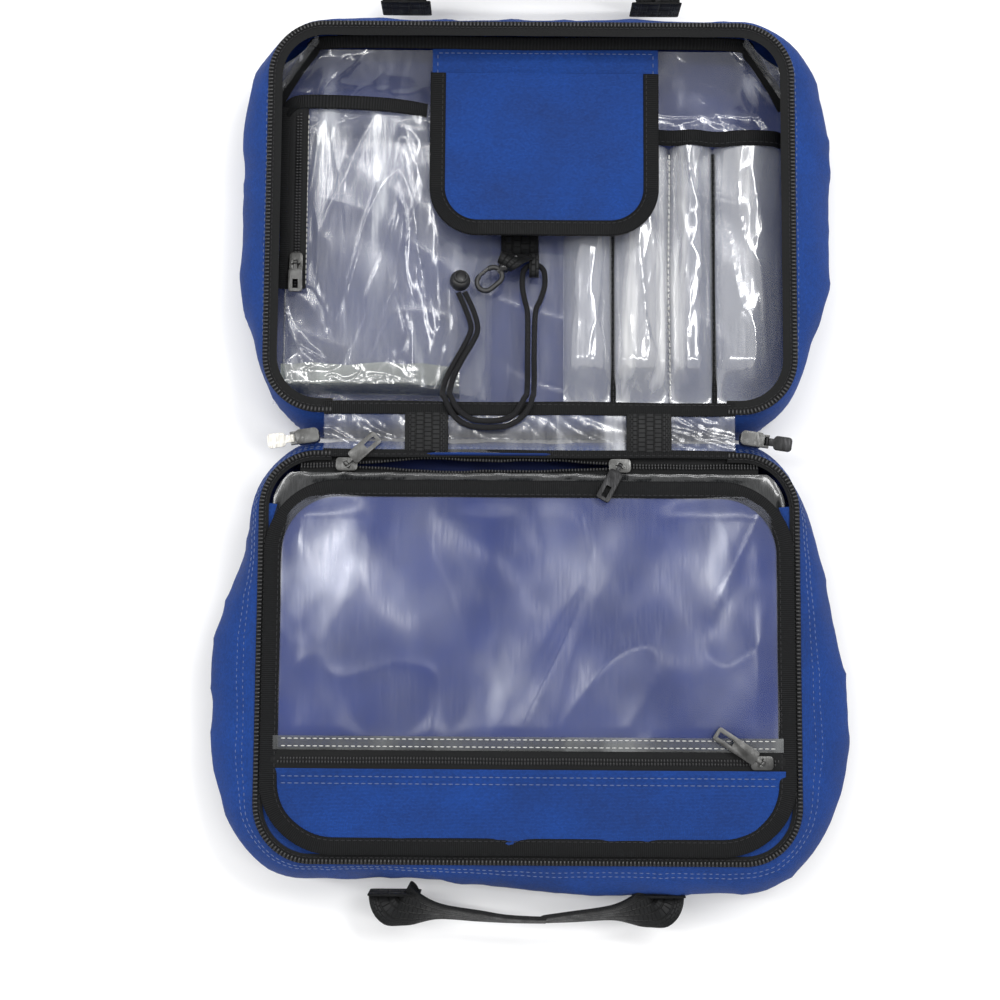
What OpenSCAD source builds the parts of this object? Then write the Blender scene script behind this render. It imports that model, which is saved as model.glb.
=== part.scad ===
/* [Overall size] */
// Width of each half, measured across its zipped rim
rim_w = 294; // [250:1:350]
// Length of each half's rim, from the spine to the handle end
rim_l = 221; // [190:1:265]
// Height of both rims above the surface the open bag lies on
rim_h = 55; // [50:1:70]
// Corner radius of the rims
rim_r = 30; // [25:1:40]
// Width of the fabric spine between the two rims
spine_w = 25; // [24:1:30]
// Height of the hinge line above the rims
hinge_rise = 3; // [3:0.5:5]

/* [Side walls] */
// How far the front half's side walls stand out past its rim
front_bulge = 25; // [15:1:32]
// How far the back half's side walls stand out past its rim
back_bulge = 31; // [15:1:36]
// How far the walls stand out past the rim at the handle ends
end_bulge = 20; // [12:1:26]
// How far the walls stand out past the rim at the spine
spine_bulge = 9; // [4:1:10]
// Height where the walls start to turn in towards the rim
shoulder_h = 38; // [36:1:42]

/* [Fabric] */
// Thickness of the coated outer fabric
fabric_t = 1.6; // [1:0.1:2]
// Thickness of the stiffening board
board_t = 4; // [2:0.5:6]
// Thickness of the clear film and of the lining
film_t = 0.8; // [0.6:0.1:1]
// Width of the bound edges
binding_w = 9; // [6:0.5:12]
// Thickness of the bound edges
binding_t = 2.4; // [1.8:0.1:2.6]
// Width of the carrying web
web_w = 28; // [20:1:35]
// Thickness of the carrying web
web_t = 2.4; // [1.6:0.1:3]

/* [Zips] */
// Width of a zip tape
tape_w = 10; // [8:0.5:12]
// Thickness of a zip tape
tape_t = 1; // [0.6:0.1:1]
// Width of the row of teeth
teeth_w = 3; // [2:0.5:3]
// Height of the row of teeth above its tape
teeth_h = 1.2; // [0.8:0.1:1.4]
// Length of a slider's body
slider_l = 12; // [9:0.5:14]
// Width of a slider's body
slider_w = 7.4; // [6:0.2:7.4]
// Length of a pull tab
pull_l = 23; // [16:1:26]
// Radius of the pin that carries a pull tab
pin_r = 0.8; // [0.5:0.1:1]

/* [Pockets] */
// Height of the flat full-width pocket's sheet above the surface
pocket_h = 14; // [10:0.5:18]
// Height of the gusseted pouch above that sheet
pouch_rise = 24; // [15:1:28]
// Height of the tool pockets above that sheet
tool_rise = 13; // [8:1:20]
// Width of the centre flap
flap_w = 132; // [110:1:140]
// Length of the centre flap
flap_l = 96; // [80:1:98]

/* [Carrying] */
// Distance between the middles of a handle's two ends
handle_span = 146; // [120:1:170]
// How far a handle stands out from its wall
handle_out = 18; // [16:1:30]
// Height of the middle of a handle above the surface
handle_h = 30; // [28:1:31]
// Thickness of a shoulder strap
strap_t = 9.5; // [6:0.5:12]
// Width of a shoulder strap
strap_w = 58; // [45:1:65]
// Thickness of the back pad
pad_t = 5.5; // [4:0.5:8]

/* [Elastic cord] */
// Diameter of the elastic cord
cord_d = 3.2; // [2.5:0.1:3.4]

/* [Hidden] */

// Colours
royal = [0.07, 0.2, 0.52];
black = [0.06, 0.06, 0.065];
clear = [0.62, 0.66, 0.76, 0.5];
zinc = [0.6, 0.6, 0.58];
foam = [0.3, 0.3, 0.32];

// Fits
touch_gap = 0.3;
moving_gap = 0.5;
pin_gap = 0.3;

// Levels of the two halves
half_w = rim_w / 2;
rim_near = spine_w / 2;
rim_far = rim_near + rim_l;
wall_far = rim_far + end_bulge;
hinge_z = rim_h + hinge_rise;
back_base = strap_t + pad_t;
panel_spread = 0.93;
shoulder_spread = 0.55;
turn_in_h = 7;
corner_steps = 7;
arc_fn = 48;

// A ring of points round a half: spread 0 is the rim and 1 the widest wall, inset draws it in.
function ring(spread, inset, z, bulge) =
  let (
    r = rim_r + spread * end_bulge - inset,
    x = half_w + spread * bulge - inset - r,
    y0 = rim_near - spread * spine_bulge + inset + r,
    y1 = rim_far + spread * end_bulge - inset - r,
    centres = [[x, y0], [x, y1], [-x, y1], [-x, y0]]
  )
  [for (c = [0:3], s = [0:corner_steps])
    let (a = -90 + 90 * c + 90 * s / corner_steps)
    [centres[c][0] + r * cos(a), centres[c][1] + r * sin(a), z]];

// A solid through rings of points that go once round its section.
module loft(rings, closed) {
  n = len(rings[0]);
  m = len(rings);
  last = closed ? n - 1 : n - 2;
  sides = [for (k = [0:m - 1], j = [0:last], half = [0, 1])
    let (
      a = k * n + j,
      b = k * n + (j + 1) % n,
      c = ((k + 1) % m) * n + (j + 1) % n,
      d = ((k + 1) % m) * n + j
    )
    half == 0 ? [a, d, c] : [a, c, b]];
  caps = closed ? [] : [
    [for (k = [m - 1:-1:0]) k * n],
    [for (k = [0:m - 1]) k * n + n - 1]
  ];
  polyhedron(points = [for (r = rings) each r], faces = concat(sides, caps));
}

module rounded(x0, x1, y0, y1, r) {
  translate([x0 + r, y0]) square([x1 - x0 - 2 * r, y1 - y0]);
  translate([x0, y0 + r]) square([x1 - x0, y1 - y0 - 2 * r]);
  for (x = [x0 + r, x1 - r], y = [y0 + r, y1 - r])
    translate([x, y]) circle(r, $fn = arc_fn);
}

// A flat sheet with a half's own outline, drawn in by inset.
module sheet(z, t, bulge, inset) {
  grow = panel_spread;
  translate([0, 0, z]) linear_extrude(t)
    rounded(-half_w - grow * bulge + inset, half_w + grow * bulge - inset,
      rim_near - grow * spine_bulge + inset, rim_far + grow * end_bulge - inset,
      rim_r + grow * end_bulge - inset);
}

module wall(base, bulge) {
  low = base + fabric_t + 6;
  loft([
    ring(panel_spread, 0, base + fabric_t, bulge),
    ring(1, 0, low, bulge),
    ring(1, 0, shoulder_h, bulge),
    ring(shoulder_spread, 0, rim_h - turn_in_h, bulge),
    ring(0, 0, rim_h, bulge),
    ring(0, fabric_t, rim_h, bulge),
    ring(shoulder_spread, fabric_t, rim_h - turn_in_h, bulge),
    ring(1, fabric_t, shoulder_h, bulge),
    ring(1, fabric_t, low, bulge),
    ring(panel_spread, fabric_t, base + fabric_t, bulge)
  ], true);
}

// The main zip's half chain, round three sides of a rim.
module main_zip() {
  top = rim_h + tape_t;
  color(black) {
    loft([
      ring(0, -1, rim_h, 0), ring(0, -1, top, 0),
      ring(0, tape_w - 1, top, 0), ring(0, tape_w - 1, rim_h, 0)
    ], false);
    loft([
      ring(0, -1 - teeth_w, rim_h - 0.2, 0), ring(0, -1 - teeth_w, top + teeth_h, 0),
      ring(0, -1, top + teeth_h, 0), ring(0, -1, rim_h - 0.2, 0)
    ], false);
  }
}

module back_half() { mirror([0, 1, 0]) children(); }

module box(x0, x1, y0, y1, z0, z1) {
  translate([x0, y0, z0]) cube([x1 - x0, y1 - y0, z1 - z0]);
}

// Outer shells and linings
module front_panel() { color(royal) sheet(0, fabric_t, front_bulge, 0); }
module front_board() { color(foam) sheet(fabric_t, board_t, front_bulge, fabric_t + 3); }
module front_liner() {
  color(royal) sheet(fabric_t + board_t, film_t, front_bulge, fabric_t + 3);
}
module front_wall() { color(royal) wall(0, front_bulge); }
module front_zip() { main_zip(); }
module back_panel() { back_half() color(royal) sheet(back_base, fabric_t, back_bulge, 0); }
module back_board() {
  back_half() color(foam) sheet(back_base + fabric_t, board_t, back_bulge, fabric_t + 3);
}
module back_liner() {
  back_half() color(royal)
    sheet(back_base + fabric_t + board_t, film_t, back_bulge, fabric_t + 3);
}
module back_wall() { back_half() color(royal) wall(back_base, back_bulge); }
module back_zip() { back_half() main_zip(); }

// Spine: one leaf, two webs and one bound edge on each side of the hinge line
spine_x = half_w - rim_r - 3;
spine_gap = 0.2;
spine_edge = rim_near - 0.8;
spine_binding_t = 0.5;
spine_binding_y = rim_near - 3;
front_spine_binding_w = 7.5;
back_spine_binding_w = 4.5;
hinge_web_l_x = -57;
hinge_web_r_x = 66;
hinge_web_w = 23;
hinge_web_t = 1.2;

module spine_leaf() {
  color(clear) box(-spine_x, spine_x, spine_gap, spine_edge, rim_h - 1, rim_h);
}
module hinge_webs() {
  color(black) for (x = [hinge_web_l_x, hinge_web_r_x])
    box(x - hinge_web_w / 2, x + hinge_web_w / 2, spine_gap, spine_binding_y - spine_gap,
      rim_h, rim_h + hinge_web_t);
}
module spine_binding(width) {
  color(black) box(-spine_x, spine_x, spine_binding_y, spine_binding_y + width,
    rim_h, rim_h + spine_binding_t);
}
module front_spine() { spine_leaf(); }
module front_hinge_webs() { hinge_webs(); }
module front_spine_binding() { spine_binding(front_spine_binding_w); }
module back_spine() { back_half() spine_leaf(); }
module back_hinge_webs() { back_half() hinge_webs(); }
module back_spine_binding() { back_half() spine_binding(back_spine_binding_w); }

// Carrying handles
anchor_t = 1.2;
handle_pivot_y = wall_far + anchor_t;
grip_w = 8;
grip_h = 14;
anchor_h = 12;

module handle_anchors() {
  color(black) for (side = [-1, 1])
    box(side * handle_span / 2 - web_w / 2, side * handle_span / 2 + web_w / 2,
      wall_far, wall_far + anchor_t, handle_h - anchor_h / 2, handle_h + anchor_h / 2);
}
module handle() {
  reach = handle_pivot_y + web_t / 2 + moving_gap;
  color(black) {
    for (side = [-1, 1])
      box(side * handle_span / 2 - web_w / 2, side * handle_span / 2 + web_w / 2,
        reach, wall_far + handle_out - grip_w, handle_h - web_t / 2, handle_h + web_t / 2);
    box(-handle_span / 2 - web_w / 2, handle_span / 2 + web_w / 2,
      wall_far + handle_out - grip_w, wall_far + handle_out,
      handle_h - grip_h / 2, handle_h + grip_h / 2);
  }
}
module front_handle_anchors() { handle_anchors(); }
module front_handle() { handle(); }
module back_handle_anchors() { back_half() handle_anchors(); }
module back_handle() { back_half() handle(); }

// Back pad and shoulder straps, flat under the back half
pad_x = half_w - 25;
pad_near = 34;
pad_far = rim_far - 6;
strap_x = 64;
strap_near = 78;
strap_far = rim_far - 10;
strap_web_w = 25;
strap_web_near = 20;
lock_l = 22;
lock_t = 6;
lock_rim = 4;
lock_slot = 4;
tab_rim = 5;

module back_pad() {
  back_half() color(black) translate([0, 0, strap_t]) linear_extrude(pad_t)
    rounded(-pad_x, pad_x, pad_near, pad_far, rim_r);
}
module shoulder_strap(side) {
  back_half() color(black) linear_extrude(strap_t)
    rounded(side * strap_x - strap_w / 2, side * strap_x + strap_w / 2,
      strap_near, strap_far, strap_w / 2 - 8);
}
module left_shoulder_strap() { shoulder_strap(-1); }
module right_shoulder_strap() { shoulder_strap(1); }
module ladder_locks() {
  back_half() color(black) for (side = [-1, 1])
    difference() {
      box(side * strap_x - strap_web_w / 2 - lock_rim, side * strap_x + strap_web_w / 2 + lock_rim,
        strap_near - lock_l, strap_near, strap_t - lock_t, strap_t - web_t);
      for (y = [5, 14])
        box(side * strap_x - strap_web_w / 2, side * strap_x + strap_web_w / 2,
          strap_near - y - lock_slot, strap_near - y, strap_t - lock_t - 1, strap_t);
    }
}
module strap_webs() {
  back_half() color(black) for (side = [-1, 1])
    box(side * strap_x - strap_web_w / 2, side * strap_x + strap_web_w / 2,
      strap_web_near, strap_near, strap_t - web_t, strap_t);
}
module strap_tabs() {
  back_half() color(black) for (side = [-1, 1])
    box(side * strap_x - strap_web_w / 2 - tab_rim, side * strap_x + strap_web_w / 2 + tab_rim,
      strap_web_near, pad_near - touch_gap, strap_t, back_base);
}

// Compartment zip across the back half, just inside its rim
comp_drop = 4;
comp_tape_z = rim_h - comp_drop;
comp_tape_near = rim_near - 0.45;
comp_tape_far = comp_tape_near + tape_w;
comp_zip_y = comp_tape_near + 6.15;
comp_zip_x = half_w - 20;

module compartment_zip() {
  back_half() color(black) {
    box(-comp_zip_x, comp_zip_x, comp_tape_near, comp_tape_far,
      comp_tape_z, comp_tape_z + tape_t);
    box(-comp_zip_x, comp_zip_x, comp_zip_y - teeth_w / 2, comp_zip_y + teeth_w / 2,
      comp_tape_z + tape_t, comp_tape_z + tape_t + teeth_h);
  }
}

// Compartment cover: blue sheet, clear window, zip, lower panel, bound edge and gusset
cover_z = rim_h + tape_t + touch_gap;
cover_x = half_w - 2;
cover_near = comp_tape_far + 5;
cover_far = rim_far - 2.5;
cover_r = rim_r + 3;
window_zip_y = cover_far - 51.5;
window_zip_w = 11;
inner_near = cover_near + binding_w;
inner_far = cover_far - binding_w;
inner_x = cover_x - binding_w;
cover_sheet_t = 0.8;
cover_top = cover_z + cover_sheet_t;

module cover_inner(t, y0, y1) {
  linear_extrude(t) intersection() {
    rounded(-inner_x, inner_x, inner_near, inner_far, cover_r - binding_w);
    translate([-inner_x, y0]) square([2 * inner_x, y1 - y0]);
  }
}
module cover_panel() {
  back_half() color(royal) translate([0, 0, cover_z])
    cover_inner(cover_sheet_t, inner_near, inner_far);
}
module cover_window() {
  back_half() color(clear) translate([0, 0, cover_top])
    cover_inner(film_t, inner_near, window_zip_y - window_zip_w / 2);
}
module window_zip() {
  back_half() color(black) translate([0, 0, cover_top]) {
    cover_inner(tape_t, window_zip_y - window_zip_w / 2, window_zip_y + window_zip_w / 2);
    translate([0, 0, tape_t])
      cover_inner(teeth_h, window_zip_y - teeth_w / 2, window_zip_y + teeth_w / 2);
  }
}
module cover_lower_panel() {
  back_half() color(royal) translate([0, 0, cover_top])
    cover_inner(film_t, window_zip_y + window_zip_w / 2, inner_far);
}
module cover_binding() {
  back_half() color(black) translate([0, 0, cover_z]) linear_extrude(binding_t)
    difference() {
      rounded(-cover_x, cover_x, cover_near, cover_far, cover_r);
      rounded(-inner_x, inner_x, inner_near, inner_far, cover_r - binding_w);
    }
}
module cover_gusset() {
  low_y = comp_tape_far + moving_gap;
  gusset_x = cover_x - cover_r;
  back_half() color(black) translate([-gusset_x, 0, 0]) rotate([90, 0, 90])
    linear_extrude(2 * gusset_x) polygon([
      [low_y, comp_tape_z + 1], [low_y + 1.4, comp_tape_z + 1],
      [cover_near + 1.5, cover_z], [cover_near, cover_z]
    ]);
}

// Zip sliders and pull tabs, modelled at the origin with the chain along X
slider_t = 2.4;
pin_z = slider_t + 1.7;
barrel_r = 1.4;
pin_l = 5;
pull_w = 8;
pull_t = 1.4;
post_t = 1.2;

module slider_plate() {
  color(zinc) linear_extrude(slider_t)
    rounded(-slider_l / 2, slider_l / 2, -slider_w / 2, slider_w / 2, 2);
}
module pin_post() {
  color(zinc) {
    for (side = [-1, 1])
      translate([-1, side * (pin_l / 2 - post_t / 2) - post_t / 2, slider_t])
        cube([2, post_t, pin_z - slider_t + 1]);
    translate([0, 0, pin_z]) rotate([90, 0, 0])
      cylinder(r = pin_r, h = pin_l, center = true, $fn = 24);
  }
}
module pull(length) {
  eye_l = pin_l - 2 * post_t - 2 * pin_gap;
  slot_l = length * 0.3;
  color(zinc) {
    difference() {
      union() {
        rotate([90, 0, 0]) cylinder(r = barrel_r, h = eye_l, center = true, $fn = 24);
        translate([0, -eye_l / 2, -pull_t / 2]) cube([4, eye_l, pull_t]);
      }
      rotate([90, 0, 0]) cylinder(r = pin_r + pin_gap, h = pin_l, center = true, $fn = 24);
    }
    translate([0, 0, -pull_t / 2]) linear_extrude(pull_t) difference() {
      rounded(4, length, -pull_w / 2, pull_w / 2, 1.6);
      translate([length - slot_l - 2, -1.5]) square([slot_l, 3]);
    }
  }
}
module place(x, y, z, turn) { translate([x, y, z]) rotate([0, 0, turn]) children(); }
module swung(lift) { translate([0, 0, pin_z]) rotate([0, -lift, 0]) children(); }

comp_slider_z = comp_tape_z + tape_t + teeth_h + 0.1;
comp_left_x = 46 - half_w;
comp_right_x = 50;
comp_left_turn = 42;
comp_right_turn = -118;
comp_right_lift = 14;
window_slider_x = half_w - 21;
window_slider_z = cover_top + tape_t + teeth_h + 0.1;
window_turn = 147;
window_pull_l = 30;
pouch_pull_l = 17;
pouch_x0 = 4 - half_w;
pouch_zip_x = pouch_x0 + 5 + tape_w / 2;
pouch_slider_y = rim_near + 85.5;
pouch_top = pocket_h + film_t + pouch_rise;
pouch_slider_z = pouch_top + tape_t + teeth_h + 0.1;

module slider_at(x, y, z, plate_turn, pin_turn) {
  place(x, y, z, plate_turn) slider_plate();
  place(x, y, z, pin_turn) pin_post();
}
module left_compartment_slider() {
  slider_at(comp_left_x, -comp_zip_y, comp_slider_z, 0, comp_left_turn);
}
module right_compartment_slider() {
  slider_at(comp_right_x, -comp_zip_y, comp_slider_z, 0, comp_right_turn);
}
module left_compartment_pull() {
  place(comp_left_x, -comp_zip_y, comp_slider_z, comp_left_turn) swung(0) pull(pull_l);
}
module right_compartment_pull() {
  place(comp_right_x, -comp_zip_y, comp_slider_z, comp_right_turn)
    swung(comp_right_lift) pull(pull_l);
}
module window_slider() {
  slider_at(window_slider_x, -window_zip_y, window_slider_z, 0, window_turn);
}
module window_pull() {
  place(window_slider_x, -window_zip_y, window_slider_z, window_turn) swung(0) pull(window_pull_l);
}
module pouch_slider() {
  slider_at(pouch_zip_x, pouch_slider_y, pouch_slider_z, -90, -90);
}
module pouch_pull() {
  place(pouch_zip_x, pouch_slider_y, pouch_slider_z, -90) swung(0) pull(pouch_pull_l);
}

// Main sliders, which ride round the corners of the back rim from the ends of the spine
corner_x = half_w - rim_r;
corner_y = rim_near + rim_r;
main_reach = rim_r + 9.5;
main_angle = 8;
main_l = 13;
main_w = 8;
main_h = 7;
main_pull_l = 14;
ear_l = 4;

module main_place(side) {
  translate([side * corner_x, -corner_y, hinge_z]) mirror([side > 0 ? 1 : 0, 0, 0])
    rotate([0, 0, 90 + main_angle]) translate([main_reach, 0, 0]) rotate([0, 0, 90]) children();
}
module main_slider(side) {
  color(zinc) main_place(side) {
    translate([0, 0, -main_h / 2]) linear_extrude(main_h)
      rounded(-main_l / 2, main_l / 2, -main_w / 2, main_w / 2, 2.5);
    for (ear = [-1, 1])
      translate([main_l / 2 - 1, ear * (main_w / 2 - 1) - 0.6, -1.2]) cube([ear_l, 1.2, 2.4]);
    translate([main_l / 2 + ear_l - 2.2, 0, 0]) rotate([90, 0, 0])
      cylinder(r = pin_r, h = main_w - 1.4, center = true, $fn = 24);
  }
}
module main_pull(side) {
  eye_l = main_w - 3.2 - 2 * pin_gap;
  color(zinc) main_place(side) translate([main_l / 2 + ear_l - 2.2, 0, 0]) {
    difference() {
      rotate([90, 0, 0]) cylinder(r = barrel_r, h = eye_l, center = true, $fn = 24);
      rotate([90, 0, 0]) cylinder(r = pin_r + pin_gap, h = main_w, center = true, $fn = 24);
    }
    translate([1.2, -eye_l / 2, -pull_t / 2]) cube([3, eye_l, pull_t]);
    translate([0, 0, -pull_t / 2]) linear_extrude(pull_t)
      rounded(4, main_pull_l, -pull_w / 2, pull_w / 2, 2);
  }
}
module left_main_slider() { main_slider(-1); }
module left_main_pull() { main_pull(-1); }
module right_main_slider() { main_slider(1); }
module right_main_pull() { main_pull(1); }

// Full-width clear pocket inside the front half
pocket_near = rim_near + 9;
pocket_far = rim_far - 6;
pocket_bend = pocket_far - 32;
pocket_lift = 19;
pocket_x = half_w + 2;
pocket_cut = 26;
pocket_edge = 6;
sheet_top = pocket_h + film_t;

module pocket_outline(grow) {
  polygon([
    [-pocket_x, pocket_near], [pocket_x, pocket_near], [pocket_x, pocket_far - pocket_cut],
    [pocket_x - pocket_cut, pocket_far + grow], [-pocket_x + pocket_cut, pocket_far + grow],
    [-pocket_x, pocket_far - pocket_cut]
  ]);
}
// A sheet that lies flat over most of its length and rises towards the handle end.
module rising_sheet(t) {
  slope = pocket_lift / (pocket_far - pocket_bend);
  end_y = pocket_far + pocket_edge;
  end_z = pocket_h + slope * (end_y - pocket_bend);
  translate([-pocket_x, 0, 0]) rotate([90, 0, 90]) linear_extrude(2 * pocket_x) polygon([
    [pocket_near, pocket_h], [pocket_bend, pocket_h], [end_y, end_z],
    [end_y, end_z + t], [pocket_bend, pocket_h + t], [pocket_near, pocket_h + t]
  ]);
}
module full_pocket() {
  color(clear) intersection() {
    rising_sheet(film_t);
    linear_extrude(2 * rim_h) pocket_outline(0);
  }
}
module full_pocket_binding() {
  color(black) intersection() {
    rising_sheet(binding_t);
    linear_extrude(2 * rim_h) difference() {
      pocket_outline(pocket_edge);
      pocket_outline(0);
    }
  }
}

// A domed film open underneath, with its top drawn in from its foot.
module film_dome(x0, x1, y0, y1, top_x0, top_x1, top_y0, top_y1, rise, mouth) {
  difference() {
    hull() {
      box(x0, x1, y0, y1, sheet_top, sheet_top + film_t);
      box(top_x0, top_x1, top_y0, top_y1, sheet_top + rise - film_t, sheet_top + rise);
    }
    hull() {
      box(x0 + film_t, x1 - film_t, y0 + film_t, y1 - film_t + mouth,
        sheet_top - 1, sheet_top + film_t);
      box(top_x0 + film_t, top_x1 - film_t, top_y0 + film_t, top_y1 - film_t + mouth,
        sheet_top + rise - 2 * film_t, sheet_top + rise - film_t);
    }
  }
}

// Gusseted pouch on the left
pouch_x1 = -22;
pouch_near = rim_near + 9;
pouch_far = pocket_bend;
pouch_top_x0 = pouch_x0 + 3;
pouch_top_x1 = -66;
pouch_top_near = pouch_near + 6;
pouch_top_far = pouch_far - 2;
pouch_zip_near = pouch_slider_y - 10;
pouch_edge_w = 7;
pouch_edge_t = 1.8;

module pouch_film() {
  color(clear) film_dome(pouch_x0, pouch_x1, pouch_near, pouch_far,
    pouch_top_x0, pouch_top_x1, pouch_top_near, pouch_top_far, pouch_rise, 0);
}
module pouch_binding() {
  color(black) {
    box(pouch_top_x0, pouch_top_x1, pouch_top_far - pouch_edge_w, pouch_top_far,
      pouch_top, pouch_top + pouch_edge_t);
    box(pouch_top_x0, pouch_top_x0 + 2, pouch_zip_near, pouch_top_far - pouch_edge_w,
      pouch_top, pouch_top + pouch_edge_t);
  }
}
module pouch_zip() {
  tape_x = pouch_top_x0 + 2;
  color(black) {
    box(tape_x, tape_x + tape_w, pouch_zip_near, pouch_top_far - pouch_edge_w,
      pouch_top, pouch_top + tape_t);
    box(pouch_zip_x - teeth_w / 2, pouch_zip_x + teeth_w / 2, pouch_zip_near,
      pouch_top_far - pouch_edge_w, pouch_top + tape_t, pouch_top + tape_t + teeth_h);
  }
}

// Row of tool pockets on the right
tool_x0 = 20;
tool_x1 = half_w + 3;
tool_shares = [0, 0.223, 0.477, 0.677, 1];
tool_edges = [for (share = tool_shares) tool_x0 + share * (tool_x1 - tool_x0)];
tool_near = rim_near + 9;
tool_far = pocket_bend - 20.5;
tool_lean = 5;
tool_toe = 28;
tool_edge_w = 7;

module tool_pockets() {
  color(clear) for (i = [0:3])
    film_dome(tool_edges[i] + touch_gap, tool_edges[i + 1] - touch_gap, tool_near, tool_far,
      tool_edges[i] + tool_lean, tool_edges[i + 1] - tool_lean, tool_near + tool_toe, tool_far,
      tool_rise, 4);
}
module tool_pocket_binding() {
  color(black) box(tool_x0 + 2, tool_x1, tool_far, tool_far + tool_edge_w,
    sheet_top + tool_rise - binding_t, sheet_top + tool_rise + 0.6);
}

// Centre flap, its fixed strip and its binding
flap_x0 = -58;
strip_z = pocket_h + pocket_lift + 0.8;
strip_l = 19;
flap_lap = 4;
flap_far = pocket_far - strip_l + flap_lap;
flap_r = 28;
flap_z = strip_z + fabric_t + moving_gap;
flap_near = flap_far - flap_l;

module flap_strip() {
  color(royal) box(flap_x0 + 1, flap_x0 + flap_w, pocket_far - strip_l, pocket_far,
    strip_z, strip_z + fabric_t);
}
module flap_outline(inset) {
  difference() {
    rounded(flap_x0 + inset, flap_x0 + flap_w - inset, flap_near + inset, flap_far + flap_r,
      flap_r - inset);
    translate([flap_x0 - 1, flap_far]) square([flap_w + 2, flap_r + 1]);
  }
}
module centre_flap() {
  color(royal) translate([0, 0, flap_z]) linear_extrude(fabric_t) flap_outline(binding_w);
}
module flap_binding() {
  color(black) translate([0, 0, flap_z]) linear_extrude(binding_t - 0.2) difference() {
    flap_outline(0);
    flap_outline(binding_w);
  }
}

// Web tab, swivel snap hook and its gate
tab_x0 = -17;
tab_x1 = 6;
tab_near = flap_near - 7.5;
tab_far = flap_near + 20;
loop_x0 = -0.2;
loop_x1 = 5.6;
loop_near = tab_near - 13.4;
loop_z0 = 19.8;
loop_z1 = 26.2;
hook_z = 26;
hook_eye_x = -12;
hook_eye_y = tab_near - 6;
hook_turn = 220;
hook_post_r = 1.8;
hook_t = 3.6;
hook_w = 13;
hook_wire = 2.6;
hook_start = 5;
hook_end = 24;
gate_gap = 0.4;
post_gap = 0.1;

module web_tab() {
  color(black) {
    box(tab_x0, tab_x1, tab_near, tab_far, sheet_top, sheet_top + 1.2);
    box(tab_x0, tab_x1, tab_near, tab_near + 1.2, sheet_top + 1.2, hook_z - 3);
    place(hook_eye_x, hook_eye_y, hook_z, hook_turn) difference() {
      translate([-4, -4, -4]) cube([4, 8, 8]);
      rotate([0, 90, 0]) cylinder(r = hook_post_r + post_gap, h = 12, center = true, $fn = 24);
    }
    box(hook_eye_x - 3, loop_x1, hook_eye_y + 4, tab_near + 1.2, hook_z - 3, hook_z - 1.8);
    difference() {
      box(loop_x0, loop_x1, loop_near, tab_near + 1.2, loop_z0, loop_z1);
      box(loop_x0 - 1, loop_x1 + 1, loop_near + 1.2, tab_near, loop_z0 + 1.2, loop_z1 - 1.2);
    }
  }
}
module hook_outline(inset) {
  rounded(hook_start + inset, hook_end - inset, -hook_w / 2 + inset, hook_w / 2 - inset,
    hook_w / 2 - inset - 0.01);
}
module snap_hook() {
  color(black) place(hook_eye_x, hook_eye_y, hook_z, hook_turn) {
    translate([0, 0, -hook_t / 2]) linear_extrude(hook_t) difference() {
      hook_outline(0);
      hook_outline(hook_wire);
      translate([hook_start + hook_w / 2, -hook_w / 2 - 1])
        square([hook_end - hook_start - hook_w, hook_wire + 2]);
    }
    translate([-5.5, 0, 0]) rotate([0, 90, 0])
      cylinder(r = hook_post_r, h = hook_start + 7, $fn = 24);
    translate([0.3, 0, 0]) rotate([0, 90, 0])
      cylinder(r = hook_post_r + 1.4, h = hook_start, $fn = 24);
  }
}
module hook_gate() {
  gate_l = hook_end - hook_start - hook_w - 2 * gate_gap;
  color(black) place(hook_eye_x, hook_eye_y, hook_z, hook_turn)
    translate([hook_start + hook_w / 2 + gate_gap, -hook_w / 2, -hook_t / 2 + 0.4])
      cube([gate_l, hook_wire - 0.4, hook_t - 0.8]);
}

// Cord stop and doubled elastic cord: out from the stop, round the loop and back beside itself
stop_r = 6;
stop_pos = [-40, 91, 32.2];
cord_side = 8;
cord_points = [
  [-41, 84.4, 31], [-36.4, 74, 30], [-33.4, 64, 29.4], [-36.6, 55, 30.4], [-42.6, 43.6, 32.2],
  [-47, 34.4, 34.6], [-48.6, 27, 40.4], [-48.9, 22.6, 46.6], [-48.4, 20.9, 52.2],
  [-47.2, 18.9, 56.5], [-45.2, 14.4, 58.7], [-42.8, 10, 58.4], [-39, 6, 58], [-32, 3, 58],
  [-22, 2.4, 58], [-12, 3.5, 58], [-4.6, 8, 58.3], [0, 14.4, 58.7], [1.2, 18.9, 56.5],
  [1.8, 20.9, 52.2], [2.3, 22.6, 46.6], [2.6, 27, 40], [3, 35, 31.6], [3, 50, 25], [3.6, 74, 23],
  [6.4, 82, 23], [8.9, 90, 23], [9, 96.7, 23], [8.1, 100, 23], [5.8, 102.3, 23],
  [2.5, 103.2, 23], [-0.7, 102.3, 23], [-3, 100, 23], [-3.9, 96.7, 23], [-4, 90, 23],
  [-2.6, 82, 23], [-0.9, 74, 23], [-0.8, 50, 25], [-0.9, 35, 31.6], [-1.2, 27, 40],
  [-1.6, 22.6, 46.6], [-2.2, 20.9, 52.2], [-3.2, 18.9, 56.5], [-5.2, 14.6, 58.7],
  [-9, 9.4, 58.3], [-15, 6.8, 58], [-22, 6, 58], [-31, 6.6, 58], [-37, 9.8, 58.4],
  [-41.2, 14.2, 58.7], [-43.4, 18.9, 56.5], [-44.6, 20.9, 52.2], [-45, 22.6, 46.6],
  [-44.6, 27, 41], [-42.9, 34.8, 35.4], [-38.2, 45.2, 33.2], [-32.2, 56, 31.2], [-29.6, 64, 30],
  [-32.6, 75, 30], [-37.4, 84.8, 31]
];

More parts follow.
